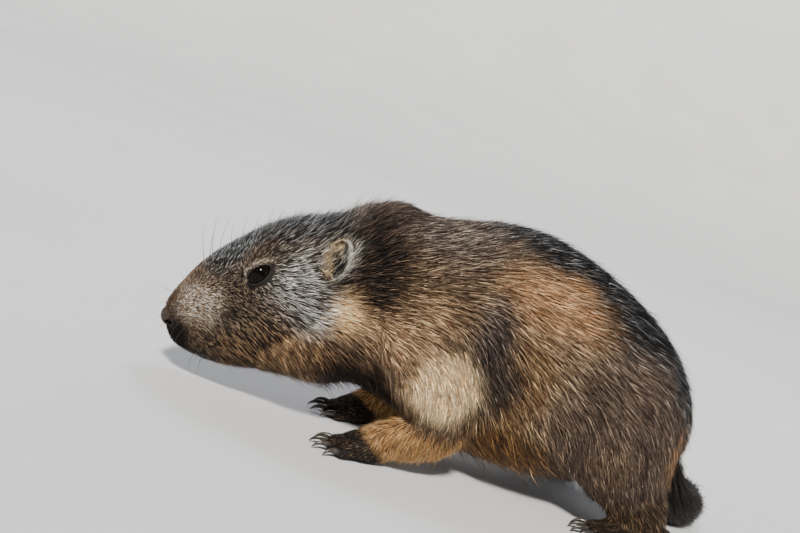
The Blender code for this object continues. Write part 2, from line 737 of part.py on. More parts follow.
def ear(name, place, side, grow=0.0):
    """A round cup, open to the front and outwards, on a short root."""
    size = Vector((EAR_DEPTH + grow, EAR_WIDTH / 2 + grow, EAR_HEIGHT / 2 + grow))
    made = ball(name, Vector((0, 0, 0)), size, 12, 7)
    if not grow:
        hollow_size = size - Vector((EAR_WALL, EAR_WALL, EAR_WALL))
        cut_with(made, [ball("hollow", EAR_HOLLOW, hollow_size, 10, 6)])
    lean = Matrix.Rotation(-side * EAR_OUTWARDS, 4, "Z") @ Matrix.Rotation(EAR_BACK, 4, "Y")
    made.data.transform(Matrix.Translation(place) @ lean)
    return made


ear_rooms = []
for side, hand in ((-1, "left"), (1, "right")):
    eye_set(whole, side, hand)
    ear_place = beside(whole, EAR_X, EAR_Z, side, EAR_SUNK)
    ear_rooms.append(turn(ear("ear_room", ear_place, side, TURN_GAP)))
    finish(turn(largest_only(ear(f"ear_{hand}", ear_place, side))), FUR_GREY)

nose = ball("nose", NOSE_PLACE, NOSE_SIZE, 12, 8)
nostrils = [beside(whole, NOSTRIL_X, NOSTRIL_Z, side, 0.0) for side in (-1, 1)]
cut_with(whole, [ball("nose_room", NOSE_PLACE, NOSE_SIZE + Vector((TURN_GAP,) * 3), 12, 8)])
for place in nostrils:
    for pierced in (nose, whole):
        cut_with(pierced, [ball("nostril", place, NOSTRIL_SIZE, 8, 6)])
finish(turn(largest_only(nose)), NOSE_BLACK)

# The slot between the lips runs round the front of the lower jaw from corner to corner
mouth_length = (MOUTH_CORNER - MOUTH_FRONT).length
lips = sheet("lips", MOUTH_CORNER, MOUTH_FRONT, MOUTH_SLOT, height=mouth_length)
cut_with(lips, [ball("between", MOUTH_CORNER, MOUTH_UNCUT, 16, 10)])
cut_with(whole, [lips])

turn(largest_only(whole))
random.seed(LOCK_SEED)
joined(whole, body_locks(tree_of(whole)), LOCK_SOLVER)
cut_with(whole, ear_rooms, solver=LOCK_SOLVER)

# Legs
LEGS = {
    "fore_left": (UPPER_ARM, FOREARM, FOREPAW_PALM, -1, FOREPAW_TOES),
    "fore_right": (UPPER_ARM, FOREARM, FOREPAW_PALM, 1, FOREPAW_TOES),
    "hind_left": (THIGH, SHANK, HINDPAW_SOLE, -1, HINDPAW_TOES),
    "hind_right": (THIGH, SHANK, HINDPAW_SOLE, 1, HINDPAW_TOES),
}
for stance, (upper, lower, foot, side, toe_count) in LEGS.items():
    place, hand = stance.split("_")
    names = ("upper_arm", "forearm", "forepaw") if place == "fore" else ("thigh", "shank", "hindpaw")
    looks = (FUR_BUFF, FUR_TAWNY) if place == "fore" else (FUR_TAWNY, FUR_TAWNY)
    shares, fan = ((0.05, 0.45), 2) if place == "fore" else ((0.0, 0.35, 0.7), 3)
    upper_made, lower_made, _ = leg(
        hand, upper, lower, foot, side, stance, toe_count, names, math.radians(16), shares, fan
    )
    finish(upper_made, looks[0])
    finish(lower_made, looks[1])
    cut_with(whole, rooms_of_leg(upper, lower, foot, side, stance), solver=LOCK_SOLVER)

# Tail
def sunk_tail_row(row):
    """A row of the tail's path, drawn in from all but its under side by the depth of the locks."""
    x, y, z, thick, broad = row
    return x, y, z - TAIL_DEPTH / 2, thick - TAIL_DEPTH / 2, broad - TAIL_DEPTH


tail = tube("tail", [sunk_tail_row(row) for row in TAIL_PATH], TAIL_RINGS, TAIL_SIDES)
joined(tail, tail_locks(tree_of(tail)), LOCK_SOLVER)
cut_with(tail, [floor_box()], solver=LOCK_SOLVER)
tail_parting = slab_across("tail_cut", TAIL_PATH, TAIL_PARTED, GAP)
for piece in split_by(tail, tail_parting, ("tail_base", "tail_brush")):
    finish(piece, FUR_DARK)
tail_room = tube("tail_room", TAIL_PATH, TAIL_RINGS, TAIL_SIDES, GAP)
largest_only(cut_with(whole, [tail_room], solver=LOCK_SOLVER))

head, rest = split_by(whole, slab("head_cut", HEAD_CUT, TURN_GAP), ("head", "rest"))
neck, torso = split_by(rest, slab("neck_cut", NECK_CUT, TURN_GAP), ("neck", "torso"))
finish(head, FUR_GREY)
finish(neck, FUR_DARK)
finish(torso, FUR_TAWNY)


# The origin goes to the middle of the footprint, on the floor
points = [vertex.co for obj in PARTS.objects for vertex in obj.data.vertices]
middle = Vector(
    (
        (min(p.x for p in points) + max(p.x for p in points)) / 2,
        (min(p.y for p in points) + max(p.y for p in points)) / 2,
        min(p.z for p in points),
    )
)
for obj in PARTS.objects:
    obj.data.transform(Matrix.Translation(-middle))
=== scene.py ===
"""An alpine marmot, life size, as a still museum model: skin, coat, eyes, nose, claws and whiskers.

Metres, +Z up, head towards -X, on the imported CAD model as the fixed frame. The forms are drawn with
the neck straight and are then turned, as the solids are.
"""

import math

import bmesh
import bpy
import numpy as np
from mathutils import Matrix, Vector
from mathutils.kdtree import KDTree


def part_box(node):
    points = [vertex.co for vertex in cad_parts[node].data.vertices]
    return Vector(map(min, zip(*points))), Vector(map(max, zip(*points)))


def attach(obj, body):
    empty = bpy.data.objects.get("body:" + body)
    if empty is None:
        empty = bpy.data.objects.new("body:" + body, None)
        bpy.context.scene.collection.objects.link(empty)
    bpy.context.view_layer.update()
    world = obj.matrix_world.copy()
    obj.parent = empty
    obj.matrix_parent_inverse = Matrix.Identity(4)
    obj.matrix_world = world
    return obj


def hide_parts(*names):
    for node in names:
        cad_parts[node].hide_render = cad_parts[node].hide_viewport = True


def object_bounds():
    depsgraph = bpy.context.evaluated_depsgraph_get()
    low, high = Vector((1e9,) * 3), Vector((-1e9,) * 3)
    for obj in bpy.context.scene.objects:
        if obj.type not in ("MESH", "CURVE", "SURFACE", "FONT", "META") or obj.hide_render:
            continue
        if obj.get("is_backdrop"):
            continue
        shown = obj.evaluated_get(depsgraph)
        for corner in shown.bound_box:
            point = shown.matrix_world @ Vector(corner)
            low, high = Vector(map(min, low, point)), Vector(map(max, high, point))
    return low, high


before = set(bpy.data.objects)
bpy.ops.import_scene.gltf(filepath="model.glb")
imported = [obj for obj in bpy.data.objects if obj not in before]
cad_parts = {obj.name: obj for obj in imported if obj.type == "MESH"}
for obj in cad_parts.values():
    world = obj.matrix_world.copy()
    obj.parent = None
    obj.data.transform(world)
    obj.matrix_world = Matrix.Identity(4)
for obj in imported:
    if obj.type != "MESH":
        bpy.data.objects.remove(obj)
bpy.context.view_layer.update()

# Trunk
# The trunk of the mount is a carved form that carries the tanned skin: nose, skull, neck, chest and
# rump in one smooth shape, drawn section by section. It is cut smaller than the finished animal by
# the depth that the coat will stand up to.
TRUNK_SECTIONS = (      # top x, z, bottom x, z, half width, height of the widest place, squareness
    (-0.2372, 0.0455, -0.2340, 0.0290, 0.0075, 0.50, 2.2),
    (-0.2348, 0.0535, -0.2298, 0.0260, 0.0112, 0.48, 2.4),
    (-0.2304, 0.0640, -0.2228, 0.0195, 0.0170, 0.46, 2.5),
    (-0.2250, 0.0765, -0.2050, 0.0168, 0.0225, 0.44, 2.6),
    (-0.2150, 0.0915, -0.1850, 0.0185, 0.0275, 0.44, 2.5),
    (-0.1990, 0.1080, -0.1640, 0.0240, 0.0350, 0.46, 2.5),
    (-0.1800, 0.1240, -0.1430, 0.0285, 0.0405, 0.45, 2.4),
    (-0.1600, 0.1355, -0.1250, 0.0315, 0.0435, 0.43, 2.3),
    (-0.1430, 0.1455, -0.1080, 0.0370, 0.0440, 0.43, 2.1),
    (-0.1270, 0.1570, -0.0920, 0.0360, 0.0490, 0.44, 2.1),
    (-0.1120, 0.1640, -0.0760, 0.0310, 0.0550, 0.45, 2.1),
    (-0.0920, 0.1620, -0.0580, 0.0250, 0.0620, 0.45, 2.2),
    (-0.0660, 0.1650, -0.0380, 0.0195, 0.0680, 0.44, 2.2),
    (-0.0380, 0.1715, -0.0140, 0.0160, 0.0735, 0.43, 2.3),
    (-0.0060, 0.1730, 0.0080, 0.0150, 0.0790, 0.42, 2.3),
    (0.0300, 0.1650, 0.0320, 0.0160, 0.0820, 0.42, 2.3),
    (0.0610, 0.1530, 0.0600, 0.0200, 0.0810, 0.43, 2.2),
    (0.0890, 0.1375, 0.0850, 0.0260, 0.0740, 0.44, 2.1),
    (0.1110, 0.1170, 0.1050, 0.0330, 0.0570, 0.45, 2.1),
    (0.1245, 0.0965, 0.1180, 0.0410, 0.0400, 0.46, 2.0),
    (0.1300, 0.0780, 0.1260, 0.0500, 0.0240, 0.50, 2.0),
)
TRUNK_RINGS, TRUNK_ROUND = 150, 96
FACE_DEPTH, TRUNK_DEPTH = 0.0016, 0.0070        # from the coat's tips down to the skin
COAT_STARTS, COAT_FULL = -0.1650, -0.0950       # x between which the coat grows from one to the other
HEAD_TURN = math.radians(16.0)
TURN_STARTS, TURN_LENGTH = -0.075, 0.055        # x behind which nothing turns, length of the bend
TURN_REACH, TURN_STEPS, TURN_SKIPPED = 0.30, 601, 4     # the bend's table: length, rows, search step
TINY = 1e-12            # keeps a division from one by nothing
HINDPAW_TIP_X = 0.123814        # where the left hind paw ends as drawn, which gives the frame's origin

origin_shift = np.array((
    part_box("hindpaw_left")[1].x - HINDPAW_TIP_X,
    (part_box("hindpaw_left")[0].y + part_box("hindpaw_right")[1].y) / 2,
    0.0,
))


def smooth_share(value, low, high):
    """0 below low, 1 above high, and smooth between them."""
    share = np.clip((np.asarray(value, float) - low) / (high - low), 0.0, 1.0)
    return share * share * (3 - 2 * share)


def along(rows, t):
    """The rows at t, from 0 to 1, on a smooth curve through all of them."""
    rows = np.asarray(rows, float)
    place = np.clip(np.asarray(t, float), 0.0, 1.0) * (len(rows) - 1)
    i = np.minimum(place.astype(int), len(rows) - 2)
    u = (place - i)[..., None]
    a, b, c, d = (rows[np.clip(i + k, 0, len(rows) - 1)] for k in (-1, 0, 1, 2))
    return 0.5 * (
        2 * b + (c - a) * u + (2 * a - 5 * b + 4 * c - d) * u**2 + (3 * b - a - 3 * c + d) * u**3
    )


def unit(vectors):
    """The vectors, each made one long."""
    return vectors / np.maximum(np.linalg.norm(vectors, axis=-1, keepdims=True), TINY)


def coat_share(x):
    """How far the coat has grown to its full depth at x."""
    return smooth_share(x, COAT_STARTS, COAT_FULL)


def trunk_points(t, angle):
    """Points of the straight trunk's skin: t from nose to rump, angle from the back round a section."""
    top_x, top_z, bottom_x, bottom_z, half_width, widest, square = np.moveaxis(
        along(TRUNK_SECTIONS, t), -1, 0
    )
    sunk = FACE_DEPTH + (TRUNK_DEPTH - FACE_DEPTH) * coat_share((top_x + bottom_x) / 2)
    top, bottom = (np.stack((x, 0 * x, z), -1) for x, z in ((top_x, top_z), (bottom_x, bottom_z)))
    up = unit(top - bottom)
    top, bottom = top - up * sunk[..., None], bottom + up * sunk[..., None]
    cosine, sine = np.cos(angle), np.sin(angle)
    rise = np.sign(cosine) * np.abs(cosine) ** (2 / square)
    side = np.sign(sine) * np.abs(sine) ** (2 / square)
    height = widest + rise * np.where(rise > 0, 1 - widest, widest)
    points = bottom + (top - bottom) * height[..., None]
    points[..., 1] += (half_width - sunk) * side
    return points


turn_reach = np.linspace(0.0, TURN_REACH, TURN_STEPS)
turn_heading = HEAD_TURN * smooth_share(turn_reach, 0.0, TURN_LENGTH)
turn_step = turn_reach[1]
turn_middle = np.stack(
    (
        TURN_STARTS - np.cumsum(np.cos(turn_heading)) * turn_step + turn_step,
        np.cumsum(np.sin(turn_heading)) * turn_step,
    ),
    -1,
)


def turned(points):
    """Points of the straight trunk, once the neck and head have turned to the right."""
    points = np.array(points, float)
    reach = np.maximum(TURN_STARTS - points[..., 0], 0.0)
    heading = np.interp(reach, turn_reach, turn_heading)
    ahead = reach > 0
    x = np.interp(reach, turn_reach, turn_middle[:, 0]) + points[..., 1] * np.sin(heading)
    y = np.interp(reach, turn_reach, turn_middle[:, 1]) + points[..., 1] * np.cos(heading)
    points[..., 0] = np.where(ahead, x, points[..., 0])
    points[..., 1] = np.where(ahead, y, points[..., 1])
    return points


def straightened(points):
    """Where points of the turned neck and head were before the turn, and their heading."""
    points = np.array(points, float)
    heading = np.zeros(len(points))
    near = np.flatnonzero(points[:, 0] < TURN_STARTS)
    every = slice(None, None, TURN_SKIPPED)
    middles, headings, reaches = turn_middle[every], turn_heading[every], turn_reach[every]
    away = points[near, None, :2] - middles[None]
    forward = -away[..., 0] * np.cos(headings) + away[..., 1] * np.sin(headings)
    best = np.abs(forward).argmin(1)
    rows = np.arange(len(near))
    found = away[rows, best]
    heading[near] = headings[best]
    points[near, 0] = TURN_STARTS - reaches[best] - forward[rows, best]
    points[near, 1] = found[:, 0] * np.sin(headings[best]) + found[:, 1] * np.cos(headings[best])
    return points, heading


def grid_faces(rings, count, first=0):
    """Quads between rings of equal count, and a fan to a point at each end, after the rings' points."""
    k = np.arange(count)
    n = (k + 1) % count
    base = first + (np.arange(rings - 1) * count)[:, None]
    quads = np.stack((base + k, base + n, base + count + n, base + count + k), -1).reshape(-1, 4)
    last = first + (rings - 1) * count
    tip = first + rings * count
    ends = [(first + b, first + a, tip) for a, b in zip(k, n)]
    ends += [(last + a, last + b, tip + 1) for a, b in zip(k, n)]
    return quads.tolist() + [[int(i) for i in face] for face in ends]


# Every form of the skin adds its points here, with its part, and its place along and round that part
PARTS = (
    "trunk", "upper_arm_left", "upper_arm_right", "forearm_left", "forearm_right", "forepaw_left",
    "forepaw_right", "thigh_left", "thigh_right", "shank_left", "shank_right", "hindpaw_left",
    "hindpaw_right", "tail", "ear_left", "ear_right",
)
form_points, form_faces, form_part, form_along, form_round = [], [], [], [], []


def add_form(part, rings, ends, starts=0.0, stops=1.0):
    """Adds one closed form through rings of points, with a point at each end."""
    count, size = len(rings), rings.shape[1]
    form_faces.extend(grid_faces(count, size, sum(len(p) for p in form_points)))
    form_points.append(np.concatenate((rings.reshape(-1, 3), ends)))
    share = np.repeat(np.linspace(starts, stops, count), size)
    form_along.append(np.append(share, (starts, stops)))
    form_round.append(np.append(np.tile(np.arange(size) / size, count), (0.5, 0.5)))
    form_part.append(np.full(len(share) + 2, PARTS.index(part)))


trunk_t, trunk_angle = np.meshgrid(
    np.linspace(0, 1, TRUNK_RINGS), np.arange(TRUNK_ROUND) * 2 * math.pi / TRUNK_ROUND, indexing="ij"
)
trunk_rings = turned(trunk_points(trunk_t, trunk_angle)) + origin_shift
add_form("trunk", trunk_rings, trunk_rings[[0, -1]].mean(1))

# Legs, paws and tail
# Each leg's form is a bent, tapering limb let into the trunk; the paws are cast whole with their arched
# toes. The tail is wound on a wire core that drops from the rump and lies along the floor.
UPPER_ARM = (           # x, y outwards, z, half thickness, half breadth
    (-0.0900, 0.0400, 0.1020, 0.0260, 0.0160),
    (-0.0740, 0.0480, 0.0760, 0.0310, 0.0200),
    (-0.0580, 0.0500, 0.0550, 0.0270, 0.0190),
    (-0.0430, 0.0490, 0.0410, 0.0160, 0.0140),
)
FOREARM = (
    (-0.0415, 0.0490, 0.0370, 0.0120, 0.0110),
    (-0.0520, 0.0490, 0.0300, 0.0165, 0.0140),
    (-0.0720, 0.0475, 0.0220, 0.0165, 0.0140),
    (-0.0890, 0.0450, 0.0160, 0.0125, 0.0130),
)
FOREPAW = (
    (-0.0830, 0.0450, 0.0122, 0.0105, 0.0115),
    (-0.0900, 0.0445, 0.0106, 0.0115, 0.0140),
    (-0.0990, 0.0440, 0.0085, 0.0095, 0.0155),
    (-0.1050, 0.0435, 0.0066, 0.0070, 0.0140),
)
THIGH = (
    (0.0560, 0.0440, 0.1100, 0.0380, 0.0270),
    (0.0600, 0.0520, 0.0880, 0.0445, 0.0330),
    (0.0690, 0.0560, 0.0640, 0.0415, 0.0310),
    (0.0800, 0.0600, 0.0420, 0.0320, 0.0250),
)
SHANK = (
    (0.0850, 0.0620, 0.0400, 0.0240, 0.0170),
    (0.0910, 0.0650, 0.0290, 0.0225, 0.0160),
    (0.0970, 0.0680, 0.0180, 0.0205, 0.0150),
)
HINDPAW = (
    (0.1200, 0.0690, 0.0105, 0.0085, 0.0095),
    (0.1120, 0.0690, 0.0098, 0.0106, 0.0130),
    (0.0960, 0.0700, 0.0090, 0.0100, 0.0150),
    (0.0810, 0.0710, 0.0075, 0.0085, 0.0155),
    (0.0730, 0.0715, 0.0058, 0.0065, 0.0140),
)
TAIL = (
    (0.1220, 0.0000, 0.0640, 0.0170, 0.0180),
    (0.1335, 0.0010, 0.0440, 0.0185, 0.0200),
    (0.1470, 0.0060, 0.0275, 0.0190, 0.0220),
    (0.1630, 0.0180, 0.0190, 0.0185, 0.0235),
    (0.1780, 0.0380, 0.0165, 0.0170, 0.0230),
    (0.1900, 0.0610, 0.0145, 0.0150, 0.0190),
    (0.1990, 0.0820, 0.0110, 0.0090, 0.0110),
)
LIMB_RINGS, LIMB_ROUND = 30, 36
TOE_RINGS, TOE_ROUND = 10, 14
STANCES = {             # side, and how far each leg stands from the pattern along x and outwards
    "fore_left": (-1, 0.0, 0.0),
    "fore_right": (1, 0.0120, -0.0040),
    "hind_left": (-1, 0.0, 0.0),
    "hind_right": (1, -0.0100, 0.0),
}
UPPER_DEPTH, LOWER_DEPTH, PAW_DEPTH, TAIL_DEPTH = 0.0050, 0.0030, 0.0012, 0.0075
TAIL_SINK = 0.4         # of the tail's coat, how much lower its core lies than its drawn middle
TAIL_RINGS, TAIL_ROUND = 60, 36
PAW_STOPS = 0.7         # share of a paw's length, where its toes start
TOES = {"fore": 4, "hind": 5}
TOE_LENGTH, TOE_RADIUS, TOE_SPLAY = 0.0120, 0.0036, math.radians(16)
TOE_ROWS = (            # share of the toe's length, height above the floor, share of its radius
    (-0.50, 0.0066, 1.0), (-0.1, 0.0068, 1.06), (0.30, 0.0058, 0.98), (0.65, 0.0048, 1.04),
    (1.0, 0.0038, 0.86),
)
TOE_MIDDLE, TOE_SHORTER = 1.5, 0.08     # the longest toe's number, and how much each next one loses
TOES_APART, TOES_ARCHED = 0.74, 0.004   # of the paw's breadth, and how far back the outer toes start
CLAW_AHEAD = 0.0010     # from the toe's end to the claw's root
DOME_OF_END, DOME_OF_DEPTH = 0.45, 0.25         # how far a domed end stands out, of its girth and coat
DOME_STEPS = (0.5, 0.85)
SOLE_Z = 0.0006         # the skin's soles, just above the floor


def tube_rings(path, depth, rings, count):
    """Round sections along a smooth path, square to it and domed at both ends, and the end points."""
    rows = along(path, np.linspace(0, 1, rings))
    middles = rows[:, :3]
    ahead = unit(np.gradient(middles, axis=0))
    across = unit(np.array((0.0, 1.0, 0.0)) - ahead * ahead[:, 1:2])
    up = np.cross(ahead, across)
    angle = np.arange(count) * 2 * math.pi / count
    ring = (
        up[:, None] * np.cos(angle)[None, :, None] * (rows[:, 3] - depth)[:, None, None]
        + across[:, None] * np.sin(angle)[None, :, None] * (rows[:, 4] - depth)[:, None, None]
    )
    made, ends = [], []
    for end, way in ((0, -1), (-1, 1)):
        dome = ahead[end] * way * (DOME_OF_END * min(rows[end, 3:]) + DOME_OF_DEPTH * depth)
        domes = [middles[end] + dome * s + ring[end] * math.sqrt(1 - s * s) for s in DOME_STEPS]
        made.append(domes if way > 0 else domes[::-1])
        ends.append(middles[end] + dome)
    rounds = np.concatenate((made[0], middles[:, None] + ring, made[1]))
    rounds[..., 2] = np.maximum(rounds[..., 2], SOLE_Z)
    ends = np.array(ends)
    ends[:, 2] = np.maximum(ends[:, 2], SOLE_Z)
    return rounds, ends


def leg_path(rows, stance):
    """The rows of a leg's pattern, where that leg stands."""
    side, forward, outward = STANCES[stance]
    rows = np.array(rows)
    rows[:, 0] += forward
    rows[:, 1] = side * (rows[:, 1] + outward)
    rows[:, :3] += origin_shift
    return rows


def toes_of(paw_end, count, side):
    """Where each toe starts and the way it points, from the inner one to the outer."""
    toes = []
    for k in range(count):
        share = k / (count - 1) * 2 - 1
        start = np.array(paw_end[:3])
        start[1] += side * share * paw_end[4] * TOES_APART
        start[0] += share**2 * TOES_ARCHED
        angle = side * share * TOE_SPLAY
        toes.append((start, np.array((-math.cos(angle), math.sin(angle), 0.0))))
    return toes


limb_paths, toe_list = {}, []
for stance, (side, _, _) in STANCES.items():
    place, hand = stance.split("_")
    names = ("upper_arm", "forearm", "forepaw") if place == "fore" else ("thigh", "shank", "hindpaw")
    patterns = (UPPER_ARM, FOREARM, FOREPAW) if place == "fore" else (THIGH, SHANK, HINDPAW)
    for name, pattern, depth in zip(names, patterns, (UPPER_DEPTH, LOWER_DEPTH, PAW_DEPTH)):
        part, path = f"{name}_{hand}", leg_path(pattern, stance)
        limb_paths[part] = path
        stops = PAW_STOPS if depth == PAW_DEPTH else 1.0
        add_form(part, *tube_rings(path, depth, LIMB_RINGS, LIMB_ROUND), 0.0, stops)
    for k, (start, ahead) in enumerate(toes_of(path[-1], TOES[place], side)):
        length = TOE_LENGTH * (1.0 - TOE_SHORTER * abs(k - TOE_MIDDLE))
        rows = [
            (*(start + ahead * length * share)[:2], height, TOE_RADIUS * radius, TOE_RADIUS * radius)
            for share, height, radius in TOE_ROWS
        ]
        add_form(part, *tube_rings(rows, 0.0, TOE_RINGS, TOE_ROUND), PAW_STOPS, 1.0)
        toe_list.append((part, k, start + ahead * (length + CLAW_AHEAD), ahead))

tail_path = np.array(TAIL) + np.append(origin_shift, (0.0, 0.0))
tail_path[:, 2] -= TAIL_DEPTH * TAIL_SINK
limb_paths["tail"] = tail_path
add_form("tail", *tube_rings(tail_path, TAIL_DEPTH, TAIL_RINGS, TAIL_ROUND))

# Skin
# The forms are fused into one continuous skin, worked smooth where limb meets trunk, with the brow,
# cheek and whisker pads raised over the skull as they are in a fresh mount.
SKIN_CELL = 0.0017
ORDER_DIGITS = 7        # decimals of a metre by which a mesh's points are put in order
SKIN_SMOOTHING, SMOOTH_FACTOR = 6, 0.5
EYE_RADIUS = 0.0096
EYE_SET_BACK = 0.0013   # how much deeper the middle of the glass lies than that of the eye that shows
LID_RADIUS = 0.0106     # the ball that the lids are stretched over
LID_FINENESS = (32, 20)
FINE, PLAIN, ROUGH = (48, 32), (24, 16), (16, 12)       # segments and rings of other balls
FACE_PADS = (           # x, y outwards, z of a pad on the straight head, its reach, how far it rises
    (-0.2215, 0.0200, 0.0440, 0.0110, 0.0012),      # whisker pad
    (-0.1900, 0.0240, 0.1030, 0.0090, 0.0012),      # brow
    (-0.1930, 0.0290, 0.0790, 0.0060, -0.0009),     # hollow in front of the eye
    (-0.1640, 0.0380, 0.0600, 0.0180, 0.0010),      # cheek
    (-0.1560, 0.0370, 0.1020, 0.0100, -0.0010),     # hollow between eye and ear
)
eye_places = {}
for hand, side in (("left", -1), ("right", 1)):
    low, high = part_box(f"eye_{hand}")
    inwards = -side * np.array((math.sin(HEAD_TURN), math.cos(HEAD_TURN), 0.0))
    eye_places[hand] = np.array((low + high) / 2) + inwards * EYE_SET_BACK


def in_scene(name, data):
    """A new object of the scene that shows the data."""
    obj = bpy.data.objects.new(name, data)
    bpy.context.scene.collection.objects.link(obj)
    return obj


def new_piece(name, points, faces):
    """A new object of these points and faces."""
    mesh = bpy.data.meshes.new(name)
    mesh.from_pydata(np.asarray(points).tolist(), [], faces)
    mesh.update()
    return in_scene(name, mesh)


def ball(name, place, size, fineness):
    """A ball or an egg, its size given from the middle out."""
    mesh = bpy.data.meshes.new(name)
    bm = bmesh.new()
    bmesh.ops.create_uvsphere(bm, u_segments=fineness[0], v_segments=fineness[1], radius=1.0)
    bmesh.ops.scale(bm, vec=Vector(size), verts=bm.verts)
    bmesh.ops.translate(bm, vec=Vector(place), verts=bm.verts)
    bm.to_mesh(mesh)
    bm.free()
    return in_scene(name, mesh)


def points_of(mesh, name="co"):
    """The mesh's points, or another value that each of them has."""
    flat = np.empty(len(mesh.vertices) * 3, np.float32)
    mesh.vertices.foreach_get(name, flat)
    return flat.reshape(-1, 3).astype(float)


def put_points(obj, points):
    """Moves the object's points to new places."""
    obj.data.vertices.foreach_set("co", points.astype(np.float32).ravel())
    obj.data.update()


def settled(mesh):
    """The mesh with its points and faces in one fixed order, so that each run gives the same coat."""
    points = points_of(mesh)
    order = np.lexsort(np.round(points, ORDER_DIGITS).T)
    rank = np.argsort(order).tolist()
    faces = []
    for face in mesh.polygons:
        corners = [rank[v] for v in face.vertices]
        first = corners.index(min(corners))
        faces.append(corners[first:] + corners[:first])
    fixed = bpy.data.meshes.new(mesh.name)
    fixed.from_pydata(points[order].tolist(), [], sorted(faces))
    fixed.update()
    return fixed


def applied(obj):
    """The object with its modifiers made part of its mesh."""
    bpy.context.view_layer.update()
    made = bpy.data.meshes.new_from_object(obj.evaluated_get(bpy.context.evaluated_depsgraph_get()))
    obj.modifiers.clear()
    obj.data = settled(made)
    bpy.data.meshes.remove(made)
    return obj


def remeshed(obj, cell, smoothing):
    """One smooth closed surface round all the closed forms of the object."""
    remesh = obj.modifiers.new("fuse", "REMESH")
    remesh.mode = "VOXEL"
    remesh.voxel_size = cell
    smooth = obj.modifiers.new("work_smooth", "SMOOTH")
    smooth.factor = SMOOTH_FACTOR
    smooth.iterations = smoothing
    return applied(obj)


def cut(obj, cutters):
    """Takes each cutter's form out of the object, and then the cutter out of the scene."""
    for cutter in cutters:
        modifier = obj.modifiers.new("cut", "BOOLEAN")
        modifier.operation = "DIFFERENCE"
        modifier.solver = "MANIFOLD"
        modifier.object = cutter
        applied(obj)
        bpy.data.objects.remove(cutter)


for hand, place in eye_places.items():
    lid_ball = ball("lid_ball", place, (LID_RADIUS,) * 3, LID_FINENESS)
    first, points = sum(len(p) for p in form_points), points_of(lid_ball.data)
    form_faces.extend([v + first for v in face.vertices] for face in lid_ball.data.polygons)
    form_points.append(points)
    form_part.append(np.zeros(len(points), int))
    straight, _ = straightened(points - origin_shift)
    gap = ((trunk_points(trunk_t, trunk_angle) - straight[0]) ** 2).sum(-1)
    ring, spoke = np.unravel_index(gap.argmin(), gap.shape)
    form_along.append(np.full(len(points), trunk_t[ring, spoke]))
    form_round.append(np.full(len(points), spoke / TRUNK_ROUND))
    bpy.data.objects.remove(lid_ball)

skin = new_piece("skin", np.concatenate(form_points), form_faces)
remeshed(skin, SKIN_CELL, SKIN_SMOOTHING)


def folded(points):
    """The points with the animal's left side laid over its right one."""
    return points * (1, 0, 1) + np.abs(points) * (0, 1, 0)


skin_straight, _ = straightened(points_of(skin.data) - origin_shift)
raised = np.zeros(len(skin_straight))
for *place, reach, rise in FACE_PADS:
    raised += rise * np.exp(-((folded(skin_straight) - place) ** 2).sum(1) / reach**2)
put_points(skin, points_of(skin.data) + points_of(skin.data, "normal") * raised[:, None])

# Eyes and lids
# The eyes are black glass, set as deep as the animal's own. The lids are modelled over them and cut
# to the almond that slants down to the nose, with a thin dark rim under a pale upper lid.
EYE_ROOM = 0.0002
LID_SLANT = math.radians(-56)
LID_HALF_LENGTH, LID_HALF_HEIGHT = 0.0089, 0.0052
LID_POWER, LID_DRAWN = 1.15, 0.25       # how flat the lids' arch is, and how far its corner is drawn
LOWER_LID = 0.90        # its arch, as a share of the upper one's
OPENING = ((0.8, 0.0), (1.0, 0.6), (1.0, 2.0))  # share of the lids' opening, eye radii from the middle
RIM_RADIUS = 0.00036
RIM_ROUND, RIM_SIDES = 64, 10
RIM_FLAT, RIM_LIFT, RIM_OUT = 1.25, 0.85, 0.4   # in radii of the rim: its breadth, and where it lies
GLASS_FINENESS = (64, 40)
NOISE_ENDS, BUMP_HEIGHT = (0.35, 0.68), 0.001   # of a grain: its darkest, its lightest, its height


def head_axes(side):
    """Forward-and-down along the lids, outwards and across the lids, on the turned head."""
    heading = Matrix.Rotation(-HEAD_TURN, 3, "Z")
    slant = Matrix.Rotation(LID_SLANT, 3, "Y")
    turn = np.array(heading @ slant)
    return turn[:, 0], np.array(heading)[:, 1] * side, turn[:, 2]


def almond(angle):
    """The lids' opening as seen from the side: rounded above, drawn to a corner towards the nose."""
    sine, cosine = np.sin(angle), np.cos(angle)
    x = LID_HALF_LENGTH * cosine
    z = LID_HALF_HEIGHT * np.sign(sine) * np.abs(sine) ** (LID_POWER - LID_DRAWN * cosine)
    return x, np.where(z < 0, z * LOWER_LID, z)


def plain_surface(name, roughness, specular, grain, detail):
    """A new material, its nodes and links, its shader, and a noise that is fixed to the piece."""
    made = bpy.data.materials.new(name)
    made.use_nodes = True
    nodes, links = made.node_tree.nodes, made.node_tree.links
    shader = nodes["Principled BSDF"]
    shader.inputs["Roughness"].default_value = roughness
    shader.inputs["Specular IOR Level"].default_value = specular
    where = nodes.new("ShaderNodeTexCoord")
    noise = nodes.new("ShaderNodeTexNoise")
    noise.inputs["Scale"].default_value = grain
    noise.inputs["Detail"].default_value = detail
    links.new(where.outputs["Object"], noise.inputs["Vector"])
    return made, nodes, links, shader, noise.outputs["Fac"]


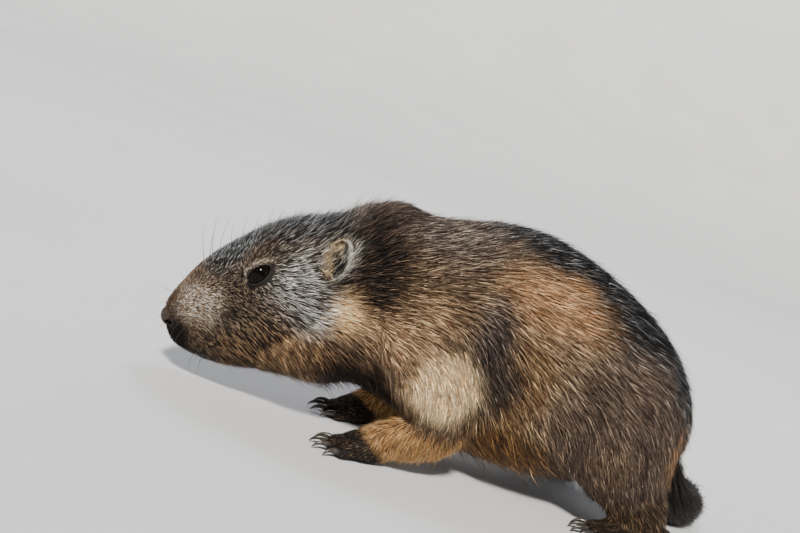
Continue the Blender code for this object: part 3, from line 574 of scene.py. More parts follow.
def grained_surface(name, roughness, specular, grain, dark, light, bump=0.0):
    """A material of noise between two colours, and a bump of the same noise."""
    made, nodes, links, shader, noise = plain_surface(name, roughness, specular, grain, detail=4.0)
    ramp = nodes.new("ShaderNodeValToRGB")
    for end, place, colour in zip(ramp.color_ramp.elements, NOISE_ENDS, (dark, light)):
        end.position, end.color = place, (*colour, 1.0)
    links.new(noise, ramp.inputs["Fac"])
    links.new(ramp.outputs["Color"], shader.inputs["Base Color"])
    if bump:
        lift = nodes.new("ShaderNodeBump")
        lift.inputs["Strength"].default_value = bump
        lift.inputs["Distance"].default_value = BUMP_HEIGHT
        links.new(noise, lift.inputs["Height"])
        links.new(lift.outputs["Normal"], shader.inputs["Normal"])
    return made


eye_glass = grained_surface(
    "eye_glass", roughness=0.07, specular=0.10, grain=260.0,
    dark=(0.0020, 0.0015, 0.0012), light=(0.0060, 0.0035, 0.0025),
)
lid_skin = grained_surface(
    "lid_skin", roughness=0.60, specular=0.25, grain=700.0,
    dark=(0.010, 0.008, 0.006), light=(0.050, 0.038, 0.028), bump=0.3,
)

for hand, side in (("left", -1), ("right", 1)):
    place = eye_places[hand]
    forward, outward, upward = head_axes(side)
    x, z = almond(np.arange(RIM_ROUND) * 2 * math.pi / RIM_ROUND)
    prism = [
        place + forward * x[:, None] * s + upward * z[:, None] * s + outward * (EYE_RADIUS * out)
        for s, out in OPENING
    ]
    prism.append([place, place + outward * EYE_RADIUS * OPENING[-1][1]])
    opening = new_piece("opening", np.concatenate(prism), grid_faces(len(OPENING), RIM_ROUND))
    bm = bmesh.new()
    bm.from_mesh(opening.data)
    bmesh.ops.recalc_face_normals(bm, faces=bm.faces)
    bm.to_mesh(opening.data)
    bm.free()
    cut(skin, [ball("eye_room", place, (EYE_RADIUS + EYE_ROOM,) * 3, FINE), opening])

    eye = ball(f"glass_eye_{hand}", place, (EYE_RADIUS,) * 3, GLASS_FINENESS)
    eye.data.shade_smooth()
    eye.data.materials.append(eye_glass)
    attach(eye, "root")
    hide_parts(f"eye_{hand}")

    rim_points = []
    for ring_angle in np.arange(RIM_SIDES) * 2 * math.pi / RIM_SIDES:
        out = RIM_RADIUS * RIM_FLAT * math.cos(ring_angle)
        lift = RIM_RADIUS * math.sin(ring_angle)
        ball_radius = EYE_RADIUS + EYE_ROOM + RIM_RADIUS * RIM_LIFT + lift
        grow = 1.0 + (out + RIM_RADIUS * RIM_OUT) / LID_HALF_HEIGHT
        rim_x, rim_z = x * grow, z * grow
        depth = np.sqrt(np.maximum(ball_radius**2 - rim_x**2 - rim_z**2, 0.0))
        rim_points.append(
            place + forward * rim_x[:, None] + upward * rim_z[:, None] + outward * depth[:, None]
        )
    rim_points = np.moveaxis(np.array(rim_points), 0, 1)
    here = np.arange(RIM_ROUND * RIM_SIDES).reshape(RIM_ROUND, RIM_SIDES)
    beyond = np.roll(here, -1, 0)
    faces = np.stack((here, beyond, np.roll(beyond, -1, 1), np.roll(here, -1, 1)), -1)
    rim = new_piece(f"lid_rim_{hand}", rim_points.reshape(-1, 3), faces.reshape(-1, 4).tolist())
    rim.data.shade_smooth()
    rim.data.materials.append(lid_skin)
    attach(rim, "root")

# Nose, nostrils and lips
# The nose is a small pad of dark leather under the haired tip of the muzzle, with a slanting nostril
# each side; below it the skin is parted by the line of the mouth.
NOSE_PLACE = np.array((-0.2314, 0.0, 0.0364))
NOSE_SIZE = (0.0072, 0.0094, 0.0074)
WING_OFF, WING_SIZE = (0.0006, 0.0072, -0.0004), (0.0056, 0.0044, 0.0052)       # from the nose's middle
GROOVE_OFF, GROOVE_SIZE = (-0.0066, 0.0, -0.0030), (0.0014, 0.0005, 0.0050)
NOSTRIL_PLACE, NOSTRIL_SIZE = (-0.2302, 0.0104, 0.0338), (0.0032, 0.0048, 0.0017)
NOSTRIL_LEAN = math.radians(-25)
NOSE_CELL, NOSE_SMOOTHING = 0.00045, 4
MOUTH_FRONT, MOUTH_CORNER = Vector((-0.2105, 0.0, 0.0150)), Vector((-0.1945, 0.0, 0.0365))
MOUTH_SLOT, MOUTH_ACROSS = 0.0012, 0.1
MOUTH_UNCUT = (0.0185, 0.0190, 0.0190)          # inside of the mouth that the line doesn't reach

nose_leather = grained_surface(
    "nose_leather", roughness=0.58, specular=0.22, grain=1300.0,
    dark=(0.010, 0.007, 0.005), light=(0.066, 0.041, 0.027), bump=0.8,
)

nose_parts = [ball("nose_pad", NOSE_PLACE, NOSE_SIZE, FINE)]
for side in (-1, 1):
    nose_parts.append(ball("wing", NOSE_PLACE + np.array(WING_OFF) * (1, side, 1), WING_SIZE, PLAIN))
nose_points, nose_faces = [], []
for made in nose_parts:
    first = sum(len(p) for p in nose_points)
    nose_faces += [[v + first for v in face.vertices] for face in made.data.polygons]
    nose_points.append(points_of(made.data))
    bpy.data.objects.remove(made)
nose = new_piece("nose_leather_pad", np.concatenate(nose_points), nose_faces)
remeshed(nose, NOSE_CELL, NOSE_SMOOTHING)


def turn_with_head(obj):
    """Moves the object from the straight head to the turned one."""
    put_points(obj, turned(points_of(obj.data)) + origin_shift)
    return obj


def nostril(side):
    """The slanting hole that pierces the pad and the skin beside it, on the straight head."""
    hole = ball("nostril", (0.0, 0.0, 0.0), NOSTRIL_SIZE, PLAIN)
    place = Matrix.Translation(np.array(NOSTRIL_PLACE) * (1, side, 1))
    hole.data.transform(place @ Matrix.Rotation(NOSTRIL_LEAN, 4, "Y"))
    return hole


cut(nose, [ball("groove", NOSE_PLACE + GROOVE_OFF, GROOVE_SIZE, ROUGH), nostril(-1), nostril(1)])
cut(skin, [turn_with_head(nostril(-1)), turn_with_head(nostril(1))])
turn_with_head(nose)
nose.data.shade_smooth()
nose.data.materials.append(nose_leather)
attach(nose, "root")
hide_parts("nose")

mouth_up = (MOUTH_CORNER - MOUTH_FRONT).normalized()
mouth_through = Vector((0, 1, 0)).cross(mouth_up)
lean = Matrix((mouth_through, Vector((0, 1, 0)), mouth_up)).transposed().to_4x4()
slot = new_piece(
    "mouth_slot",
    [(x, y, z) for x in (-0.5, 0.5) for y in (-0.5, 0.5) for z in (-0.5, 0.5)],
    [(0, 1, 3, 2), (4, 6, 7, 5), (0, 4, 5, 1), (2, 3, 7, 6), (0, 2, 6, 4), (1, 5, 7, 3)],
)
slot.data.transform(
    Matrix.Translation((MOUTH_CORNER + MOUTH_FRONT) / 2)
    @ lean
    @ Matrix.Diagonal((MOUTH_SLOT, MOUTH_ACROSS, (MOUTH_CORNER - MOUTH_FRONT).length, 1.0))
)
cut(slot, [ball("mouth_inside", MOUTH_CORNER, MOUTH_UNCUT, FINE)])
cut(skin, [turn_with_head(slot)])

# Ears
# Small round ears, each a thin gristle cup on the back corner of the skull, open forwards and
# outwards. They join the skin, and are worked finer than the rest of it.
EAR_HEIGHT, EAR_WIDTH, EAR_DEPTH, EAR_WALL = 0.0290, 0.0190, 0.0090, 0.0020
EAR_OUTWARDS, EAR_BACK = math.radians(56), math.radians(20)
EAR_INSET = 0.0006
EAR_HOLLOW = (-0.0056, 0.0, 0.0012)             # middle of the cup's hollow, before the ear is turned
HOLLOW_FINENESS = (40, 28)
EAR_CELL, EAR_SMOOTHING = 0.0007, 3

ears = {}
for hand, side in (("left", -1), ("right", 1)):
    size = np.array((EAR_DEPTH, EAR_WIDTH / 2, EAR_HEIGHT / 2)) - EAR_INSET
    cup = ball(f"ear_{hand}_cup", (0, 0, 0), size, FINE)
    cut(cup, [ball("ear_hollow", EAR_HOLLOW, size + EAR_INSET - EAR_WALL, HOLLOW_FINENESS)])
    remeshed(cup, EAR_CELL, EAR_SMOOTHING)
    turn = Matrix.Rotation(-side * EAR_OUTWARDS, 4, "Z") @ Matrix.Rotation(EAR_BACK, 4, "Y")
    cup.data.transform(Matrix.Rotation(-HEAD_TURN, 4, "Z") @ turn)
    points = points_of(cup.data)
    low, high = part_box(f"ear_{hand}")
    put_points(cup, points + (np.array((low + high) / 2) - (points.min(0) + points.max(0)) / 2))
    ears[hand] = cup

bm = bmesh.new()
bm.from_mesh(skin.data)
for hand, cup in ears.items():
    bm.from_mesh(cup.data)
    points = points_of(cup.data)
    spread = (points - points.min(0)) / (points.max(0) - points.min(0))
    form_points.append(points)
    form_part.append(np.full(len(points), PARTS.index(f"ear_{hand}")))
    form_along.append(spread[:, 2])
    form_round.append((spread[:, 0] + spread[:, 1]) / 2)
    bpy.data.objects.remove(cup)
bmesh.ops.triangulate(bm, faces=bm.faces)
bm.to_mesh(skin.data)
bm.free()
skin.data.shade_smooth()
skin.data.update()

# Claws
# Black horn, one to a toe, curved down to the floor: set into the end of each toe.
CLAW_LENGTH, CLAW_RADIUS, CLAW_NARROWED = 0.0105, 0.0019, 0.8
CLAW_ROWS = (           # share of the claw's length, height above the floor, share of its radius
    (-0.25, 0.0044, 0.9), (0.1, 0.0052, 1.0), (0.45, 0.0050, 0.8), (0.75, 0.0036, 0.52),
    (0.98, 0.0012, 0.14),
)
CLAW_RINGS, CLAW_ROUND = 14, 12

claw_horn = grained_surface(
    "claw_horn", roughness=0.32, specular=0.55, grain=420.0,
    dark=(0.012, 0.010, 0.009), light=(0.060, 0.048, 0.038), bump=0.15,
)

claw_points, claw_faces = {}, {}
for part, k, root, ahead in toe_list:
    rows = []
    for share, height, radius in CLAW_ROWS:
        x, y, _ = root + ahead * CLAW_LENGTH * share
        rows.append((x, y, height, CLAW_RADIUS * radius, CLAW_RADIUS * radius * CLAW_NARROWED))
    rows = along(rows, np.linspace(0, 1, CLAW_RINGS))
    rounds, ends = tube_rings(rows, 0.0, CLAW_RINGS, CLAW_ROUND)
    points, faces = claw_points.setdefault(part, []), claw_faces.setdefault(part, [])
    faces += grid_faces(len(rounds), CLAW_ROUND, sum(len(p) for p in points))
    points.append(np.concatenate((rounds.reshape(-1, 3), ends)))
for part, points in claw_points.items():
    claws = new_piece(f"claws_{part}", np.concatenate(points), claw_faces[part])
    claws.data.shade_smooth()
    claws.data.materials.append(claw_horn)
    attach(claws, "root")
    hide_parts(*[f"claw_{part}_{k + 1}" for p, k, _, _ in toe_list if p == part])

# Coat: how it lies
# The coat lies back over the head, up the neck, down the shoulder and arm, and slantwise down the
# flank and haunch. It is shortest on nose, ears and paws, and longest under the throat and belly.
LIE = (         # x, z, degrees below the straight back, length in mm, breadth of one tuft in mm
    (-0.237, 0.050, -60, 2.6, 0.40), (-0.226, 0.070, -46, 3.6, 0.45), (-0.205, 0.100, -45, 5.5, 0.50),
    (-0.180, 0.124, -42, 8.5, 0.55), (-0.155, 0.140, -34, 12.0, 0.65), (-0.225, 0.045, -12, 3.2, 0.42),
    (-0.212, 0.040, 0, 4.2, 0.45), (-0.222, 0.025, 10, 2.6, 0.40), (-0.200, 0.066, -14, 4.8, 0.48),
    (-0.197, 0.084, -32, 4.6, 0.48), (-0.165, 0.108, -24, 7.0, 0.55), (-0.175, 0.062, -3, 7.5, 0.55),
    (-0.150, 0.082, 2, 9.0, 0.60), (-0.190, 0.030, 16, 8.0, 0.55), (-0.165, 0.034, 36, 12.5, 0.62),
    (-0.138, 0.044, 58, 19.0, 0.75), (-0.150, 0.034, 55, 17.0, 0.70), (-0.120, 0.040, 62, 19.0, 0.75),
    (-0.120, 0.104, -30, 15.0, 0.75), (-0.112, 0.130, -28, 16.0, 0.80),
    (-0.112, 0.150, -18, 17.0, 0.85), (-0.115, 0.080, -14, 16.0, 0.80), (-0.112, 0.058, 25, 18.0, 0.85),
    (-0.085, 0.115, 2, 19.0, 0.90), (-0.080, 0.135, -4, 20.0, 0.90), (-0.092, 0.098, 12, 18.0, 0.85),
    (-0.080, 0.160, 0, 20.0, 0.90), (-0.070, 0.085, 52, 17.0, 0.85), (-0.065, 0.060, 74, 15.0, 0.80),
    (-0.045, 0.140, 12, 22.0, 0.95), (-0.042, 0.095, 36, 21.0, 0.95), (-0.020, 0.120, 26, 23.0, 1.00),
    (0.000, 0.172, 4, 21.0, 0.95), (0.000, 0.145, 18, 23.0, 1.00), (0.020, 0.100, 32, 24.0, 1.00),
    (-0.012, 0.062, 42, 25.0, 1.00), (0.010, 0.032, 50, 26.0, 1.05), (0.050, 0.125, 28, 23.0, 1.00),
    (0.060, 0.090, 46, 22.0, 0.95), (0.060, 0.058, 62, 20.0, 0.90), (0.060, 0.030, 66, 18.0, 0.85),
    (0.092, 0.092, 68, 16.0, 0.80), (0.120, 0.072, 78, 14.0, 0.80),
)
LIE_REACH = 0.022       # how far each row of the table reaches
FAINT_PULL = 1e-9       # a neighbour's least, so that no sum is nothing
MM = 0.001
TUFT_SPREAD = {         # length in mm, breadth in mm of the tufts of the parts that have their own lie
    "forearm": (9.0, 0.62), "forepaw": (4.2, 0.46), "shank": (9.0, 0.65), "hindpaw": (4.4, 0.48),
    "tail": (26.0, 0.95), "ear": (5.0, 0.42),
}
LIE_AHEAD = 0.1         # share of a limb over which its own direction is taken
LEG_LIES = {            # how much of a leg's direction its lie keeps, and what draws it down and back
    "forearm": (0.45, (0.35, 0.0, -0.85)), "shank": (1.0, (0.5, 0.0, -0.4)),
}
EAR_LIE = (0.35, 0.25, 1.0)             # backwards, outwards, up
TUFT_SHOWS = 0.55       # share of a tuft's length, from root to tip, where most of it shows
LIE_EVENED, SIZES_EVENED = 3, 10        # rounds of evening out over neighbouring points

form_points = np.concatenate(form_points)
form_part, form_along, form_round = (np.concatenate(a) for a in (form_part, form_along, form_round))


def tree_of(points):
    """The points, sorted so that the nearest one is quickly found."""
    tree = KDTree(len(points))
    for i, point in enumerate(points.tolist()):
        tree.insert(point, i)
    tree.balance()
    return tree


def nearest_of(tree, points):
    """For each point, the number of the nearest one in the tree."""
    return np.array([tree.find(point)[1] for point in points.tolist()])


form_near = nearest_of(tree_of(form_points), points_of(skin.data))
skin_points, skin_normals = points_of(skin.data), unit(points_of(skin.data, "normal"))
skin_part, skin_along, skin_round = form_part[form_near], form_along[form_near], form_round[form_near]
skin_straight, skin_heading = straightened(skin_points - origin_shift)
on_limb = np.isin(skin_part, [PARTS.index(p) for p in PARTS if p != "trunk" and "ear" not in p])
skin_straight[on_limb] = skin_points[on_limb] - origin_shift
skin_heading[on_limb] = 0.0
triangles = np.empty(len(skin.data.polygons) * 3, np.int32)
skin.data.polygons.foreach_get("vertices", triangles)
triangles = triangles.reshape(-1, 3)


def part_is(*names):
    """Where the skin belongs to parts whose names start so."""
    return np.isin(skin_part, [i for i, p in enumerate(PARTS) if p.startswith(names)])


def spread_over_skin(values, rounds):
    """Evens values out over neighbouring points of the skin."""
    ends = np.concatenate([triangles[:, [0, 1]], triangles[:, [1, 2]], triangles[:, [2, 0]]])
    count = np.bincount(ends[:, 0], minlength=len(values)) + FAINT_PULL
    for _ in range(rounds):
        total = [np.bincount(ends[:, 0], column[ends[:, 1]], len(values)) for column in values.T]
        total = np.stack(total, -1)
        values = (values + total / count[:, None]) / 2
    return values


lie_table = np.array(LIE)
gap = skin_straight[:, None, [0, 2]] - lie_table[None, :, :2]
pull = np.exp(-(gap**2).sum(-1) / LIE_REACH**2) + FAINT_PULL
pull /= pull.sum(1, keepdims=True)
slope, skin_length, skin_breadth = (pull @ lie_table[:, c] for c in (2, 3, 4))
slope, skin_length, skin_breadth = np.radians(slope), skin_length * MM, skin_breadth * MM
skin_lie = np.stack((np.cos(slope), 0 * slope, -np.sin(slope)), -1)
skin_shown = skin_straight + skin_lie * (skin_length * TUFT_SHOWS)[:, None]
turn_x = skin_lie[:, 0] * np.cos(skin_heading) + skin_lie[:, 1] * np.sin(skin_heading)
turn_y = -skin_lie[:, 0] * np.sin(skin_heading) + skin_lie[:, 1] * np.cos(skin_heading)
skin_lie = np.stack((turn_x, turn_y, skin_lie[:, 2]), -1)

for part, path in limb_paths.items():
    name = part.split("_")[0]
    if name in ("upper", "thigh"):
        continue
    here = part_is(part)
    share = np.clip(skin_along[here], 0, 1)
    lie = along(path[:, :3], np.minimum(share + LIE_AHEAD, 1.0)) - along(path[:, :3], share - LIE_AHEAD)
    skin_lie[here] = unit(lie)
    if name in LEG_LIES:
        kept, drawn_down = LEG_LIES[name]
        skin_lie[here] = unit(unit(lie) * kept + drawn_down)
    skin_length[here], skin_breadth[here] = np.array(TUFT_SPREAD[name]) * MM
for hand, side in (("left", -1), ("right", 1)):
    here = part_is(f"ear_{hand}")
    skin_lie[here] = unit(np.array(EAR_LIE) * (1, side, 1))
    skin_length[here], skin_breadth[here] = np.array(TUFT_SPREAD["ear"]) * MM

# The lie parts round each eye, and the tufts are shorter and finer next to it
EYE_CLEAR, EYE_FLOW = 0.0100, 0.0045
EYE_PARTS, EYE_SHORTER, EYE_FINER = 1.5, 0.55, 0.2
for hand, place in eye_places.items():
    away = skin_points - place
    distance = np.linalg.norm(away, axis=1)
    push = np.exp(-np.maximum(distance - EYE_CLEAR, 0.0) / EYE_FLOW)
    skin_lie += unit(away) * (EYE_PARTS * push)[:, None]
    skin_length *= 1 - EYE_SHORTER * push
    skin_breadth *= 1 - EYE_FINER * push


def in_plane(vectors, normals):
    """The vectors with what points out of the skin taken away."""
    return unit(vectors - normals * (vectors * normals).sum(-1, keepdims=True))


skin_lie = in_plane(skin_lie, skin_normals)
for _ in range(LIE_EVENED):
    skin_lie = in_plane(spread_over_skin(skin_lie, LIE_EVENED), skin_normals)
skin_length, skin_breadth = spread_over_skin(np.stack((skin_length, skin_breadth), -1), SIZES_EVENED).T

# Waves: the lie wanders a little from place to place, which gathers the coat in soft streaks
WAVES = ((61.0, 0.9, 0.4), (23.0, 2.1, 0.55), (113.0, 4.2, 0.22))       # how close, start, share
WAVE_WAYS = ((1.0, 0.73, -1.21), (0.42, -0.9, 0.8))
WANDER = 0.26
wander = sum(
    size * np.sin(skin_points @ (np.array(WAVE_WAYS[0]) * scale) + start)
    * np.cos(skin_points @ (np.array(WAVE_WAYS[1]) * scale) + start * 2)
    for scale, start, size in WAVES
)
skin_lie = unit(skin_lie + np.cross(skin_normals, skin_lie) * (wander * WANDER)[:, None])

# Coat: its markings
# Each hair is banded from root to tip, and the mixes of hair change over the body: a charcoal saddle
# with silver tips, a golden flank, a cream patch on the upper arm, rusty forearms, a grizzled head.
# Skin and coat are both dyed from this one scheme, which also paints shade under the nose, behind the
# ear, under the chest and in the ear's cup, and rim light on the ear.
HAIR_MIXES = {          # red, green, blue of root, band, tip and pale tip, and the share with pale tips
    "brown": ((30, 24, 20), (104, 82, 64), (66, 52, 42), (190, 160, 126), 0.36),
    "saddle": ((11, 10, 10), (24, 22, 22), (18, 17, 17), (170, 170, 170), 0.22),
    "withers": ((25, 20, 18), (103, 84, 73), (61, 50, 45), (216, 200, 182), 0.38),
    "neck_top": ((18, 15, 14), (69, 56, 49), (43, 35, 31), (157, 132, 114), 0.30),
    # dark neck fur, darkened further as painted shadow of the head
    "neck_dark_and_shade": ((13, 10, 8), (36, 28, 24), (22, 18, 16), (113, 90, 72), 0.20),
    "crown": ((18, 16, 16), (55, 55, 55), (31, 30, 31), (183, 189, 194), 0.42),
    "silver": ((37, 32, 28), (182, 170, 155), (107, 99, 89), (255, 255, 255), 0.76),
    "cheek": ((17, 13, 11), (76, 58, 48), (38, 29, 25), (180, 157, 133), 0.50),
    "jaw": ((25, 17, 14), (103, 75, 53), (53, 39, 31), (224, 183, 134), 0.46),
    "muzzle": ((72, 55, 39), (245, 214, 169), (166, 136, 103), (255, 255, 250), 0.72),
    "nose_tip": ((24, 17, 13), (96, 66, 44), (62, 43, 30), (156, 116, 78), 0.24),
    # lips: the dark lips, and also painted shade under the nose and in the ear's hole
    "lips": ((7, 6, 5), (15, 12, 11), (12, 10, 9), (64, 54, 46), 0.08),
    "chin": ((16, 14, 12), (62, 56, 50), (40, 36, 32), (176, 168, 156), 0.32),
    "buff": ((122, 87, 56), (247, 197, 141), (255, 212, 156), (255, 245, 193), 0.48),
    "shoulder": ((24, 18, 14), (98, 76, 57), (57, 44, 35), (197, 168, 135), 0.38),
    "streaks": ((47, 34, 24), (153, 118, 86), (94, 71, 53), (249, 214, 169), 0.50),
    "cream": ((228, 172, 118), (255, 216, 160), (255, 230, 184), (255, 242, 210), 0.52),
    "rust": ((96, 62, 34), (214, 156, 92), (226, 174, 112), (248, 214, 160), 0.34),
    "rump_rust": ((58, 39, 26), (158, 112, 70), (126, 90, 58), (216, 168, 116), 0.34),
    "paw": ((22, 18, 16), (72, 60, 50), (48, 40, 34), (164, 138, 110), 0.20),
    # painted shade under the chest, between the forelegs
    "arm_pit_shade": ((14, 11, 9), (44, 33, 26), (30, 23, 18), (96, 72, 52), 0.12),
    "slate": ((28, 23, 22), (87, 76, 71), (53, 46, 42), (174, 158, 147), 0.28),
    "slate_dark": ((19, 16, 15), (63, 53, 47), (38, 32, 29), (132, 114, 103), 0.24),
    "gold": ((67, 47, 30), (193, 146, 102), (173, 130, 91), (251, 211, 164), 0.46),
    "flank": ((42, 32, 25), (148, 120, 94), (94, 76, 60), (250, 216, 173), 0.50),
    "haunch": ((28, 22, 19), (108, 89, 76), (76, 62, 54), (166, 145, 124), 0.32),
    "fringe": ((24, 15, 8), (96, 67, 36), (61, 42, 24), (193, 140, 80), 0.34),
    "haunch_top": ((34, 28, 24), (128, 107, 92), (92, 76, 66), (196, 172, 150), 0.36),
    # painted rim light along the ear's rear edge
    "ear_rim_light": ((110, 102, 92), (190, 184, 174), (184, 178, 168), (246, 243, 236), 0.50),
    "knee": ((39, 30, 23), (123, 99, 79), (87, 70, 56), (182, 157, 129), 0.32),
    "shank": ((32, 26, 19), (122, 96, 70), (84, 66, 50), (192, 157, 118), 0.30),
    "tail": ((10, 9, 8), (39, 33, 29), (22, 19, 18), (88, 77, 67), 0.16),
    "tail_tip": ((8, 7, 6), (24, 21, 19), (14, 12, 11), (56, 48, 42), 0.08),
    "ear_back": ((28, 24, 21), (112, 104, 96), (84, 78, 70), (240, 236, 228), 0.50),
    # painted shade for the hollow at the rear inside of the ear's cup
    "ear_cup_shade": ((14, 12, 11), (52, 48, 44), (34, 31, 28), (168, 160, 150), 0.34),
    "eyelid": ((70, 60, 50), (196, 180, 158), (180, 164, 142), (240, 230, 212), 0.60),
    "gold_streaks": ((38, 26, 17), (144, 107, 71), (87, 63, 43), (214, 184, 136), 0.40),
    "concha": ((70, 54, 38), (190, 164, 124), (170, 144, 106), (250, 232, 196), 0.42),
}
MARKINGS = (            # mix, x, y outwards, z of its middle, reach along x, y and z, soft share of it
    ("flank", -0.005, 0.060, 0.088, 0.055, 0.060, 0.060, 0.55),
    ("gold_streaks", -0.014, 0.070, 0.080, 0.018, 0.050, 0.044, 0.60),
    ("haunch", 0.066, 0.060, 0.070, 0.062, 0.090, 0.061, 0.35),
    ("haunch_top", 0.062, 0.060, 0.116, 0.034, 0.060, 0.020, 0.70),
    ("gold", 0.002, 0.065, 0.137, 0.042, 0.050, 0.021, 0.60),
    ("gold", -0.030, 0.062, 0.134, 0.024, 0.030, 0.014, 0.70),
    ("slate", -0.042, 0.068, 0.104, 0.014, 0.040, 0.034, 0.70),
    ("slate_dark", -0.031, 0.070, 0.078, 0.020, 0.030, 0.028, 0.60),
    ("withers", -0.080, 0.020, 0.158, 0.040, 0.060, 0.030, 0.60),
    ("saddle", 0.012, 0.000, 0.177, 0.086, 0.100, 0.032, 0.25),
    ("saddle", 0.062, 0.000, 0.156, 0.056, 0.110, 0.050, 0.28),
    ("saddle", 0.105, 0.000, 0.122, 0.042, 0.110, 0.048, 0.35),
    ("shoulder", -0.090, 0.056, 0.108, 0.030, 0.040, 0.034, 0.60),
    ("streaks", -0.092, 0.058, 0.084, 0.020, 0.030, 0.018, 0.70),
    ("streaks", -0.080, 0.060, 0.104, 0.018, 0.030, 0.016, 0.80),
    ("neck_top", -0.116, 0.000, 0.158, 0.026, 0.050, 0.028, 0.50),
    # the neck behind the ear: partly its own dark fur, partly painted shadow cast by the head
    ("neck_dark_and_shade", -0.118, 0.046, 0.127, 0.025, 0.042, 0.034, 0.40),
    ("neck_dark_and_shade", -0.108, 0.042, 0.100, 0.012, 0.024, 0.018, 0.70),
    ("streaks", -0.104, 0.050, 0.087, 0.013, 0.026, 0.010, 0.70),
    ("buff", -0.1195, 0.046, 0.084, 0.012, 0.022, 0.015, 0.70),
    ("crown", -0.172, 0.000, 0.132, 0.048, 0.040, 0.038, 0.55),
    ("crown", -0.205, 0.008, 0.101, 0.030, 0.026, 0.030, 0.55),
    ("cheek", -0.182, 0.034, 0.060, 0.034, 0.030, 0.028, 0.60),
    ("jaw", -0.145, 0.036, 0.050, 0.034, 0.040, 0.024, 0.60),
    ("jaw", -0.175, 0.026, 0.036, 0.022, 0.030, 0.012, 0.60),
    ("silver", -0.154, 0.042, 0.094, 0.024, 0.022, 0.026, 0.80),
    ("silver", -0.138, 0.044, 0.078, 0.016, 0.018, 0.016, 0.80),
    ("muzzle", -0.223, 0.020, 0.052, 0.014, 0.016, 0.015, 0.65),
    ("muzzle", -0.210, 0.024, 0.056, 0.014, 0.014, 0.015, 0.80),
    ("nose_tip", -0.2370, 0.004, 0.052, 0.010, 0.018, 0.012, 0.45),
    # the lips' marks paint the dark lips together with painted shade under the nose and nostrils
    ("lips", -0.2290, 0.000, 0.0275, 0.012, 0.030, 0.0090, 0.35),
    ("lips", -0.2190, 0.010, 0.0200, 0.015, 0.022, 0.0060, 0.45),
    ("lips", -0.2210, 0.016, 0.0310, 0.0085, 0.0120, 0.0100, 0.50),
    ("chin", -0.203, 0.012, 0.018, 0.012, 0.018, 0.008, 0.50),
    # painted shade under the chest, between the forelegs
    ("arm_pit_shade", -0.105, 0.020, 0.045, 0.030, 0.026, 0.022, 0.60),
    ("cream", -0.060, 0.068, 0.065, 0.025, 0.036, 0.025, 0.28),
    ("fringe", -0.005, 0.050, 0.036, 0.036, 0.050, 0.020, 0.55),
    ("fringe", 0.000, 0.000, 0.018, 0.080, 0.050, 0.014, 0.60),
    ("knee", 0.056, 0.080, 0.050, 0.016, 0.020, 0.018, 0.70),
    ("rump_rust", 0.104, 0.074, 0.066, 0.010, 0.030, 0.020, 0.80),
    ("rump_rust", 0.124, 0.020, 0.050, 0.014, 0.030, 0.018, 0.70),
)
PART_MIXES = {
    "forearm": "rust", "forepaw": "paw", "shank": "shank", "hindpaw": "paw", "tail": "tail",
    "ear": "ear_back",
}
RAGGED = (((210, 140, -170), 0.4), ((-330, 260, 290), 2.0))     # waves that fray the edges, start
FRAY, OUTER_SOFT = 0.05, 0.5
TAIL_TIP_FROM = 0.72    # share of the tail's length
DYE_EVENED = 6
EAR_INSIDE, EAR_LIT_RIM = 0.30, -0.3        # how squarely skin faces outwards in the cup, and on its rim painted with light
EAR_FRONT, EAR_BUFF_TO = -0.0052, 0.0010        # rearwards to where head hair ends, and where buff ends
EAR_LIT_RIM_FROM = 0.16     # where the painted rim light starts, as a share of the ear's width and height, squared
EAR_HOLE_SHADE, EAR_HOLE_SHADE_SIZE = (0.0014, -0.0042), (0.0042, 0.0036)   # painted shade in the cup's hole, its middle and size: rearwards, up
EYELID_BREADTH, EYELID_EDGE, EYELID_FROM = 0.0030, 0.95, 0.001  # the pale hair over the eye
EYE_FRONT = -0.002      # skin that lies deeper than this behind the eye's middle is the socket's


def pigment(mix):
    """Twelve linear colour values and the share with pale tips."""
    *colours, share = HAIR_MIXES[mix]
    red_green_blue = np.array(colours, float).ravel() / 255
    linear = np.where(
        red_green_blue > 0.04045, ((red_green_blue + 0.055) / 1.055) ** 2.4, red_green_blue / 12.92
    )
    return np.append(linear, share)


shown = folded(skin_shown)
skin_mix = np.tile(pigment("brown"), (len(shown), 1))
ragged = sum(np.sin(skin_points @ np.array(wave) + start) for wave, start in RAGGED)
for mix, x, y, z, reach_x, reach_y, reach_z, soft in MARKINGS:
    gap = (shown - (x, y, z)) / (reach_x, reach_y, reach_z)
    gap = np.sqrt((gap**2).sum(1)) + FRAY * ragged
    weight = 1 - smooth_share(gap, 1 - soft, 1 + soft * OUTER_SOFT)
    skin_mix += (pigment(mix) - skin_mix) * weight[:, None]
for part, mix in PART_MIXES.items():
    skin_mix[part_is(part)] = pigment(mix)
skin_mix[part_is("tail") & (skin_along > TAIL_TIP_FROM)] = pigment("tail_tip")
skin_mix = spread_over_skin(skin_mix, DYE_EVENED)


def in_lids(hand, side, margin):
    """How far out of the lids' opening the skin lies, 1 at its margin, and how far up and outwards."""
    forward, outward, upward = head_axes(side)
    away = skin_points - eye_places[hand]
    x, z = away @ forward, away @ upward
    ring = (x / (LID_HALF_LENGTH + margin)) ** 2 + (z / (LID_HALF_HEIGHT + margin)) ** 2
    return ring, z, away @ outward


